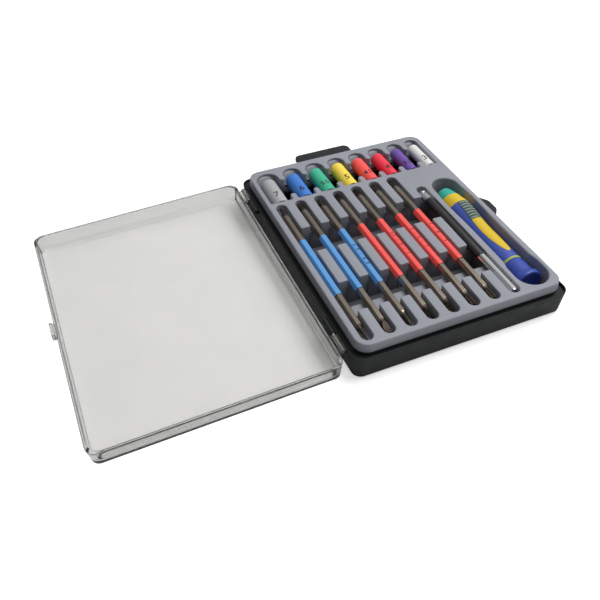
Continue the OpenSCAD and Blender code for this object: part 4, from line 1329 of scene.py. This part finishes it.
@dataclass
class Lettering:
    """Plain size numbers as thin raised print."""

    text: str
    size: float
    spacing: float
    look: Look
    bold: float = 0.014
    cut: float = 0.35
    thick: float = 0.05

    def _glyphs(self, name: str) -> bpy.types.Mesh:
        """The text as a thin solid about the origin, cut finely across so that it can bend."""
        curve = bpy.data.curves.new("lettering", "FONT")
        curve.body, curve.size = self.text, self.size
        curve.align_x, curve.align_y = "CENTER", "CENTER"
        curve.space_character = self.spacing
        curve.offset = self.bold * self.size
        curve.resolution_u = 3
        source = put("lettering", curve)
        graph = bpy.context.evaluated_depsgraph_get()
        flat = bpy.data.meshes.new_from_object(source.evaluated_get(graph))
        bpy.data.objects.remove(source)
        work = bmesh.new()
        work.from_mesh(flat)
        bmesh.ops.remove_doubles(work, verts=work.verts, dist=1e-4)
        wide = max(abs(v.co.x) for v in work.verts)
        for x in np.arange(-wide, wide, self.cut):
            geometry = work.verts[:] + work.edges[:] + work.faces[:]
            bmesh.ops.bisect_plane(work, geom=geometry, plane_co=(x, 0, 0), plane_no=(1, 0, 0))
        made = bmesh.ops.extrude_face_region(work, geom=work.faces[:])
        raised = [v for v in made["geom"] if isinstance(v, bmesh.types.BMVert)]
        bmesh.ops.translate(work, vec=(0, 0, self.thick), verts=raised)
        bmesh.ops.recalc_face_normals(work, faces=work.faces)
        mesh = bpy.data.meshes.new(name)
        work.to_mesh(mesh)
        work.free()
        return mesh

    def _place(self, name: str, body: str, change: Change) -> None:
        """Carries the print to its place and makes it a piece."""
        mesh = self._glyphs(name)
        pts = np.empty(3 * len(mesh.vertices), np.float32)
        mesh.vertices.foreach_get("co", pts)
        moved = change(pts.reshape(-1, 3).astype(float)) * MM
        mesh.vertices.foreach_set("co", moved.astype(np.float32).ravel())
        mesh.update()
        mesh.materials.append(self.look.paint())
        hand_over(put(name, mesh), body)

    def on_round(self, name: str, body: str, place: Triple, radius: float, turn: float) -> None:
        """Wraps the print round a cylinder along Y, read from the front.

        Args:
            name, body: the piece's name and its CAD body.
            place: the cylinder's axis at the middle of the print.
            radius: the cylinder's radius.
            turn: degrees from the top towards +X.
        """
        x, y, z = place

        def wrap(p: Array) -> Array:
            """Angle = turn + width / radius; radius grows by the print's thickness."""
            a = math.radians(turn) + p[:, 0] / radius
            r = radius - 0.03 + p[:, 2]
            return np.stack([x + r * np.sin(a), y + p[:, 1], z + r * np.cos(a)], -1)

        self._place(name, body, wrap)

    def on_flat(self, name: str, body: str, place: Triple, limit: float) -> None:
        """Lays the print on a sleeve's top flat, reading along the bar from front to back.

        Args:
            name, body: the piece's name and its CAD body.
            place: the middle of the flat.
            limit: half the width that the flat gives.
        """
        x, y, z = place

        def lay(p: Array) -> Array:
            """Text runs towards -Y, its top towards +X."""
            across = x + np.clip(p[:, 1], -limit, limit)
            return np.stack([across, y - p[:, 0], z - 0.01 + 1.4 * p[:, 2]], -1)

        self._place(name, body, lay)


@dataclass
class NutSocket:
    """A coloured sleeve over a steel core with a nut end and a drive end."""

    index: int
    x: float
    dia: float
    nut: float
    look: Look
    front: float = 43.7
    length: float = 23.6
    top: float = 20.8
    wall: float = 0.6

    @property
    def z(self) -> float:
        """Height of the socket's axis."""
        return self.top - self.dia / 2

    def sleeve(self) -> Skin:
        """A tube with rounded ends."""
        r, b = self.dia / 2, self.dia / 2 - self.wall
        y0, y1 = self.front, self.front + self.length
        prof = [(b, y0), (r - 0.35, y0), (r - 0.1, y0 + 0.12), (r, y0 + 0.4)]
        prof += [(r, y1 - 0.9), (r - 0.12, y1 - 0.4), (r - 0.35, y1 - 0.1), (r - 0.5, y1), (b, y1)]
        return Skin().turned(self.x, self.z, prof, 72)

    def core(self) -> Skin:
        """A steel tube: a chamfered hexagonal hole from each end and a web between them."""
        angle = circle()
        r = self.dia / 2 - self.wall
        y0, y1 = self.front + 0.2, self.front + self.length - 0.2
        nut = hex_section(self.nut / 2 + 0.05, self.nut, angle)
        drive = hex_section(BAR + 0.05, 4.0, angle)
        none, full = 0 * angle, r + 0 * angle
        web, seat, rim = y0 + 10.0, y1 - 8.0, r - 0.08
        rows = [
            (web, none), (web, nut), (y0 + 0.5, nut), (y0, np.minimum(nut + 0.3, rim)), (y0, full),
            (y1, full), (y1, np.minimum(drive + 0.25, rim)), (y1 - 0.4, drive), (seat, drive),
            (seat, none),
        ]
        return shaft(self.x, self.z, angle, rows, closed=True)

    def build(self) -> None:
        """Makes the sleeve, the core and the size number."""
        n, body = self.index + 1, f"socket_{self.index + 1}"
        self.sleeve().build(f"socket_grip_{n}", body, [self.look], [f"socket_sleeve_{n}"])
        self.core().build(f"socket_steel_{n}", body, [Look.CORE], [f"socket_core_{n}"], 28)
        label = f"{self.nut:g}"
        number = Lettering(label, 6.4 if len(label) == 1 else 5.2, 0.9, Look.INK)
        place = (self.x, self.front + 7.2, self.z)
        number.on_round(f"socket_size_{n}", body, place, self.dia / 2, -6)


@dataclass
class ExtensionBar:
    """The bright hexagonal bar with its black sleeve."""

    x: float = 31.96
    z: float = 18.25
    front: float = -72.4
    back: float = 21.5
    sleeve_back: float = 12.8
    sleeve_len: float = 55.0
    sleeve_r: float = 2.6

    def build(self) -> None:
        """Makes the bar and the sleeve."""
        angle, f, b = circle(), self.front, self.back
        hexed = hex_section(BAR, 2.27, angle)
        cut, none = [np.minimum(hexed, r) for r in (1.75, 1.85, 1.55)], 0 * hexed
        rows = [(f, none), (f, cut[0]), (f + 0.6, hexed), (b - 3.2, hexed), (b - 2.9, cut[1])]
        rows += [(b - 2.1, cut[1]), (b - 1.8, hexed), (b - 0.7, hexed), (b, cut[2]), (b, none)]
        bar = shaft(self.x, self.z, angle, rows)
        bar.build("extension_hex_bar", "extension", [Look.CHROME], ["extension_bar"], 14)
        outer, inner = self.sleeve_r + 0 * angle, hex_section(BAR, 2.28, angle)
        ends = (self.sleeve_back - self.sleeve_len, self.sleeve_back)
        rolled = ((0, 0.3), (0, 0.2), (0.15, 0.05), (0.5, 0))
        grip = rolled_tube(self.x, self.z, ends, angle, outer, inner, rolled)
        grip.build("extension_grip", "extension", [Look.SLEEVE_BLACK], ["extension_sleeve"])


@dataclass
class Handle:
    """The handle: nose, collar, waisted body with pads and inlays, ring and turning cap."""

    x: float = 47.4
    z: float = 12.6
    nose: float = 20.6
    collar: float = 12.2
    body: float = 2.85
    waist: float = -22.9
    end: float = -49.3
    ring: float = 1.6
    cap_end: float = -65.9
    nose_r: float = 5.45
    collar_r: float = 6.85
    body_r: float = 8.0
    waist_r: float = 6.45
    end_r: float = 6.7
    flange_r: float = 8.2
    bit_r: float = 3.3
    pad_angle: float = 80.0
    pad_half: tuple[float, float] = (27.0, 36.0)
    leaf_half: float = 38.0
    edge_gap: float = 0.16
    pad_end: float = -13.4
    inlay_tip: float = -44.7
    ribs: int = 7
    bed: float = 0.55
    bore_end: float = -12.4
    deep: float = 0.7
    pin_r: float = 1.5
    pin_top: float = -35.4
    seat: float = -5.4

    def radius(self, y: Array) -> Array:
        """Body radius at y: half cosine waves from shoulder to waist and from waist to end."""
        up = ease((y - self.body) / (self.waist - self.body))
        down = ease((y - self.waist) / (self.end - self.waist))
        return np.where(
            y > self.waist,
            self.body_r + (self.waist_r - self.body_r) * up,
            self.waist_r + (self.end_r - self.waist_r) * down,
        )

    def _turn(self, name: str, profile: Profile, look: Look, node: str, body: str) -> None:
        """Makes a turned piece about the handle's axis."""
        Skin().turned(self.x, self.z, profile, 96).build(name, body, [look], [node])

    def _front(self) -> None:
        """Nose and collar, each with a bore for the steel tube."""
        t, r, edge = np.linspace(0, 1, 8), self.nose_r, 0.9
        rise, back = self.collar_r - r, self.collar - self.nose + 1
        nose = [(self.bit_r, self.nose), (r - edge, self.nose)]
        nose += bend(r - edge, self.nose - edge, edge, 70, 10, 3)
        nose += [(r + rise * k**0.8, self.nose - 1 + back * k) for k in t]
        nose += [(self.bit_r, self.collar)]
        self._turn("handle_nose_piece", nose, Look.HANDLE_TEAL, "handle_nose", "handle")
        start, foot = self.collar - 0.25, self.collar_r + 0.2
        band = [(self.bit_r, self.collar), (self.collar_r, self.collar)]
        rows = zip(ease(t), start + (self.body - start) * t)
        band += [(foot + (self.body_r - foot) * k, y) for k, y in rows]
        band += [(self.bit_r, self.body)]
        self._turn("handle_collar_band", band, Look.HANDLE_YELLOW, "handle_collar", "handle")

    def _leaf_half(self, t: Array) -> Array:
        """An inlay's half angle at t, 0 at the pad and 1 at the tip.

        It is leaf * (0.88 + 0.12 * half a sine wave) * root(1 - t^4).
        """
        swell = 0.88 + 0.12 * np.sin(np.pi * np.minimum(t / 0.8, 1))
        return math.radians(self.leaf_half) * swell * np.sqrt(np.maximum(1 - t**4, 1e-4))

    def _pad_half(self, t: Array) -> Array:
        """A pad's half angle at t, 0 at its front and 1 at its back."""
        return np.radians(self.pad_half[0] + (self.pad_half[1] - self.pad_half[0]) * t)

    def _grip(self) -> None:
        """The body, with a bore in front and beds a hair wider than the pads and inlays."""
        rows = np.linspace(0, 1, 25)
        leaf = np.sin(rows * np.pi / 2)
        span = self.inlay_tip - self.pad_end
        ys = np.concatenate([[self.body], self.body - 0.03 + (self.pad_end - self.body) * rows])
        half = np.concatenate([[self._pad_half(rows)[0]], self._pad_half(rows)])
        past = self.inlay_tip - 0.2
        ys = np.concatenate([ys, self.pad_end + span * leaf, [past, past, self.end]])
        half = np.concatenate([half, self._leaf_half(leaf), [0.02, 0.02, 0.02]])
        deep = np.ones(len(ys))
        deep[[0, -2, -1]] = 0
        half = half + self.edge_gap / self.body_r
        inside, outside = np.linspace(-1, 1, 13), np.linspace(0, 1, 9)[1:-1]
        third = 2 * math.pi / 3
        parts = []
        for k in range(3):
            mid = math.radians(self.pad_angle) + third * k
            walls = mid + half[:, None] * np.array([-1, 1])[None]
            bed = mid + half[:, None] * inside[None]
            rest = mid + half[:, None] + (third - 2 * half[:, None]) * outside[None]
            parts += [(walls[:, :1], 0), (bed, 1), (walls[:, 1:], 0), (rest, 0)]
        angle = np.concatenate([a for a, _ in parts], axis=1)
        sunk = np.concatenate([np.full(a.shape[1], float(d)) for a, d in parts])
        radius = self.radius(ys)[:, None] - 0.02 - self.bed * deep[:, None] * sunk[None]
        floor = self.bore_end
        ends = [(self.body, self.bit_r), (self.end, 0.001), (floor, 0.001), (floor, self.bit_r)]
        caps = [self._shell(np.array([y]), angle[:1], np.full((1, 1), r)) for y, r in ends]
        rings = [caps[0], self._shell(ys, angle, radius), *caps[1:]]
        skin = Skin().grid(np.concatenate(rings), closed=True)
        skin.build("handle_grip_body", "handle", [Look.HANDLE_BLUE], ["handle_body"], 40)

    def _pads(self) -> None:
        """Grip pads: a sunk web with seven crowned ribs across it, wider towards the back; the
        web's dark colour is partly its own navy and partly painted shade between the ribs.
        """
        cols, rows, across = np.linspace(-1, 1, 33), np.linspace(0, 1, 25), np.linspace(0, 1, 9)
        ends = np.clip((1 - np.abs(cols)) * 9, 0, 1) ** 0.5
        crown = np.sin(np.pi * across) ** 0.5
        rib = -0.3 + 0.58 * crown[:, None] * ends[None]
        skin = Skin()
        for k in range(3):
            mid = math.radians(self.pad_angle + 120 * k)
            web = np.full((len(rows), len(cols)), -0.22)
            self._pad_strip(skin, mid, rows, cols, web, 1)
            for n in range(self.ribs):
                strip = (n + 0.17 + 0.66 * across) / self.ribs
                self._pad_strip(skin, mid, strip, cols, rib, 0)
        skin.build("handle_rib_pads", "handle", [Look.PAD, Look.PAD_WEB], ["grip_pads"], 60)

    def _pad_strip(
        self, skin: Skin, mid: float, rows: Array, cols: Array, rise: Array, slot: int
    ) -> None:
        """Adds one closed strip of a pad between two of its rows."""
        y = self.body - 0.05 + (self.pad_end - self.body) * rows
        self._lens(skin, y, mid + self._pad_half(rows)[:, None] * cols[None], rise, slot)

    def _shell(self, y: Array, angle: Array, r: Array) -> Array:
        """Points on a surface about the handle's axis."""
        return along_y(self.x, self.z, y, angle, r)

    def _lens(self, skin: Skin, y: Array, angle: Array, rise: Array, slot: int = 0) -> None:
        """Adds a closed patch of the surface: raised top, sunk underside and the wall round it."""
        r = self.radius(y)[:, None]
        top, low = self._shell(y, angle, r + rise), self._shell(y, angle, r - self.deep + 0 * rise)
        skin.grid(top, around=False, slot=slot).grid(low, around=False, slot=slot)
        for edge in (np.s_[0], np.s_[-1], np.s_[:, 0], np.s_[:, -1]):
            skin.grid(np.stack([top[edge], low[edge]]), around=False, slot=slot)

    def _inlays(self) -> None:
        """Leaf-shaped inlays with rounded tips, crowned a little."""
        rows, cols = np.sin(np.linspace(0, np.pi / 2, 49)), np.linspace(-1, 1, 25)
        y = self.pad_end - 0.1 + (self.inlay_tip - self.pad_end) * rows
        half = self._leaf_half(rows)
        along = np.minimum(1, np.minimum(rows, 1 - rows) * 14 + 0.1)[:, None]
        crown = 0.02 + 0.14 * (1 - np.abs(cols[None]) ** 4) * along
        skin = Skin()
        for k in range(3):
            mid = math.radians(self.pad_angle + 120 * k)
            self._lens(skin, y, mid + half[:, None] * cols[None], crown)
        skin.build("handle_drop_inlays", "handle", [Look.HANDLE_YELLOW], ["grip_inlays"], 50)

    def _tail(self) -> None:
        """Ring, pin and turning cap with its flange and dish."""
        y, low, r = self.end, self.end - self.ring, self.end_r - 0.02
        ring = [(self.pin_r, y), (r - 0.13, y), (r, y - 0.15), (r, low + 0.15), (r - 0.13, low)]
        ring += [(self.pin_r, low)]
        self._turn("handle_thin_ring", ring, Look.RING, "handle_ring", "handle")
        head, p, q = self.cap_end + 1.4 + 3.5, self.pin_r, 2.8
        pin = [(0, self.pin_top), (p - 0.1, self.pin_top), (p, self.pin_top - 0.2), (p, head)]
        pin += [(q - 0.1, head), (q, head - 0.15), (q, head - 1.4), (q - 0.2, head - 1.5)]
        pin += [(0, head - 1.5)]
        self._turn("handle_cap_pin", pin, Look.PIN, "cap_pin", "handle")
        top = low - 0.2
        flange, neck = self.cap_end + 2.6, top - 9.2
        base, wide, e = self.end_r + 0.2, self.flange_r, 0.9
        r, edge = self.end_r, self.cap_end + e
        cap = [(p + 0.05, top), (r - 0.3, top), (r - 0.08, top - 0.12), (r, top - 0.4)]
        cap += [(base, y) for y in np.linspace(top - 3, neck, 4)]
        for k in np.linspace(0, 1, 12)[1:]:
            out = wide - (wide - base) * math.cos(math.pi / 2 * k)
            cap.append((out, neck + (flange - neck) * k))
        cap += [(wide, edge)] + bend(wide - e, edge, e, -15, -90, 5)
        dish = np.linspace(1, 0, 12)
        cap += [((wide - 1.3) * k, self.cap_end + 1.4 * (1 - k * k)) for k in dish]
        cap += [(0, head - 1.6), (2.9, head - 1.6), (2.9, head + 0.1), (p + 0.05, head + 0.1)]
        self._turn("handle_turning_cap", cap, Look.CAP, "handle_cap", "cap")

    def _bit_tube(self) -> None:
        """Steel tube with a hexagonal mouth, and the magnet at its bottom."""
        angle, seat = circle(), self.seat
        hole, none = hex_section(BAR + 0.05, 4.0, angle), 0 * angle
        mouth, rim = np.minimum(hole + 0.3, 2.9), none + self.bit_r
        rows = [(seat, none), (seat, hole), (19.9, hole), (20.3, mouth), (20.3, rim - 0.15)]
        rows += [(20.15, rim), (self.bore_end, rim), (self.bore_end, none)]
        tube = shaft(self.x, self.z, angle, rows, closed=True)
        tube.build("handle_bit_tube", "handle", [Look.CORE], ["bit_socket"], 28)
        magnet = [(0, seat), (1.8, seat), (2.0, seat - 0.2), (2.0, seat - 3), (0, seat - 3)]
        self._turn("handle_magnet", magnet, Look.MAGNET, "bit_magnet", "handle")

    def build(self) -> None:
        """Makes every piece of the handle."""
        self._front()
        self._grip()
        self._pads()
        self._inlays()
        self._tail()
        self._bit_tube()


# ---------------------------------------------------------------- the whole set


def main() -> None:
    """Builds the studio and each sub-assembly in order."""
    logging.basicConfig(level=logging.INFO, format="%(message)s")
    Studio().build()
    CaseShell().build()
    ClearLid().build()
    tray = ToolTray()
    tray.build()
    nuts = (7, 6, 5.5, 5, 4.5, 4, 3.5, 3)
    looks = (
        Look.SOCKET_GREY, Look.SOCKET_BLUE, Look.SOCKET_GREEN, Look.SOCKET_YELLOW,
        Look.SOCKET_ORANGE, Look.SOCKET_CRIMSON, Look.SOCKET_PURPLE, Look.SOCKET_WHITE,
    )
    for k, ((a, b), dia, nut, look) in enumerate(zip(tray.bays(), tray.socket_dia, nuts, looks)):
        NutSocket(k, (a + b) / 2, dia, nut, look).build()
    blue, red = (Look.SLEEVE_BLUE, Look.INK), (Look.SLEEVE_RED, Look.INK_RED)
    blades = (
        (Tip.POINT, "", *blue, 0.0, 1.05),
        (Tip.FLAT, "", *blue, -0.5, 1.85),
        (Tip.POINT, "3.5 - 4.0", *blue, 0.4, 1.45),
        (Tip.CROSS, "", *red, 0.2, 1.85),
        (Tip.CROSS, "00 - 0 - 1", *red, 0.1, 1.85),
        (Tip.STAR, "5 - 6 - 7", *red, 0.0, 1.85),
        (Tip.STAR, "7 - 8 - 9", *red, 0.0, 1.85),
    )
    for k, blade in enumerate(blades):
        Blade(k, *blade).build()
    ExtensionBar().build()
    Handle().build()


if __name__ == "__main__":
    main()
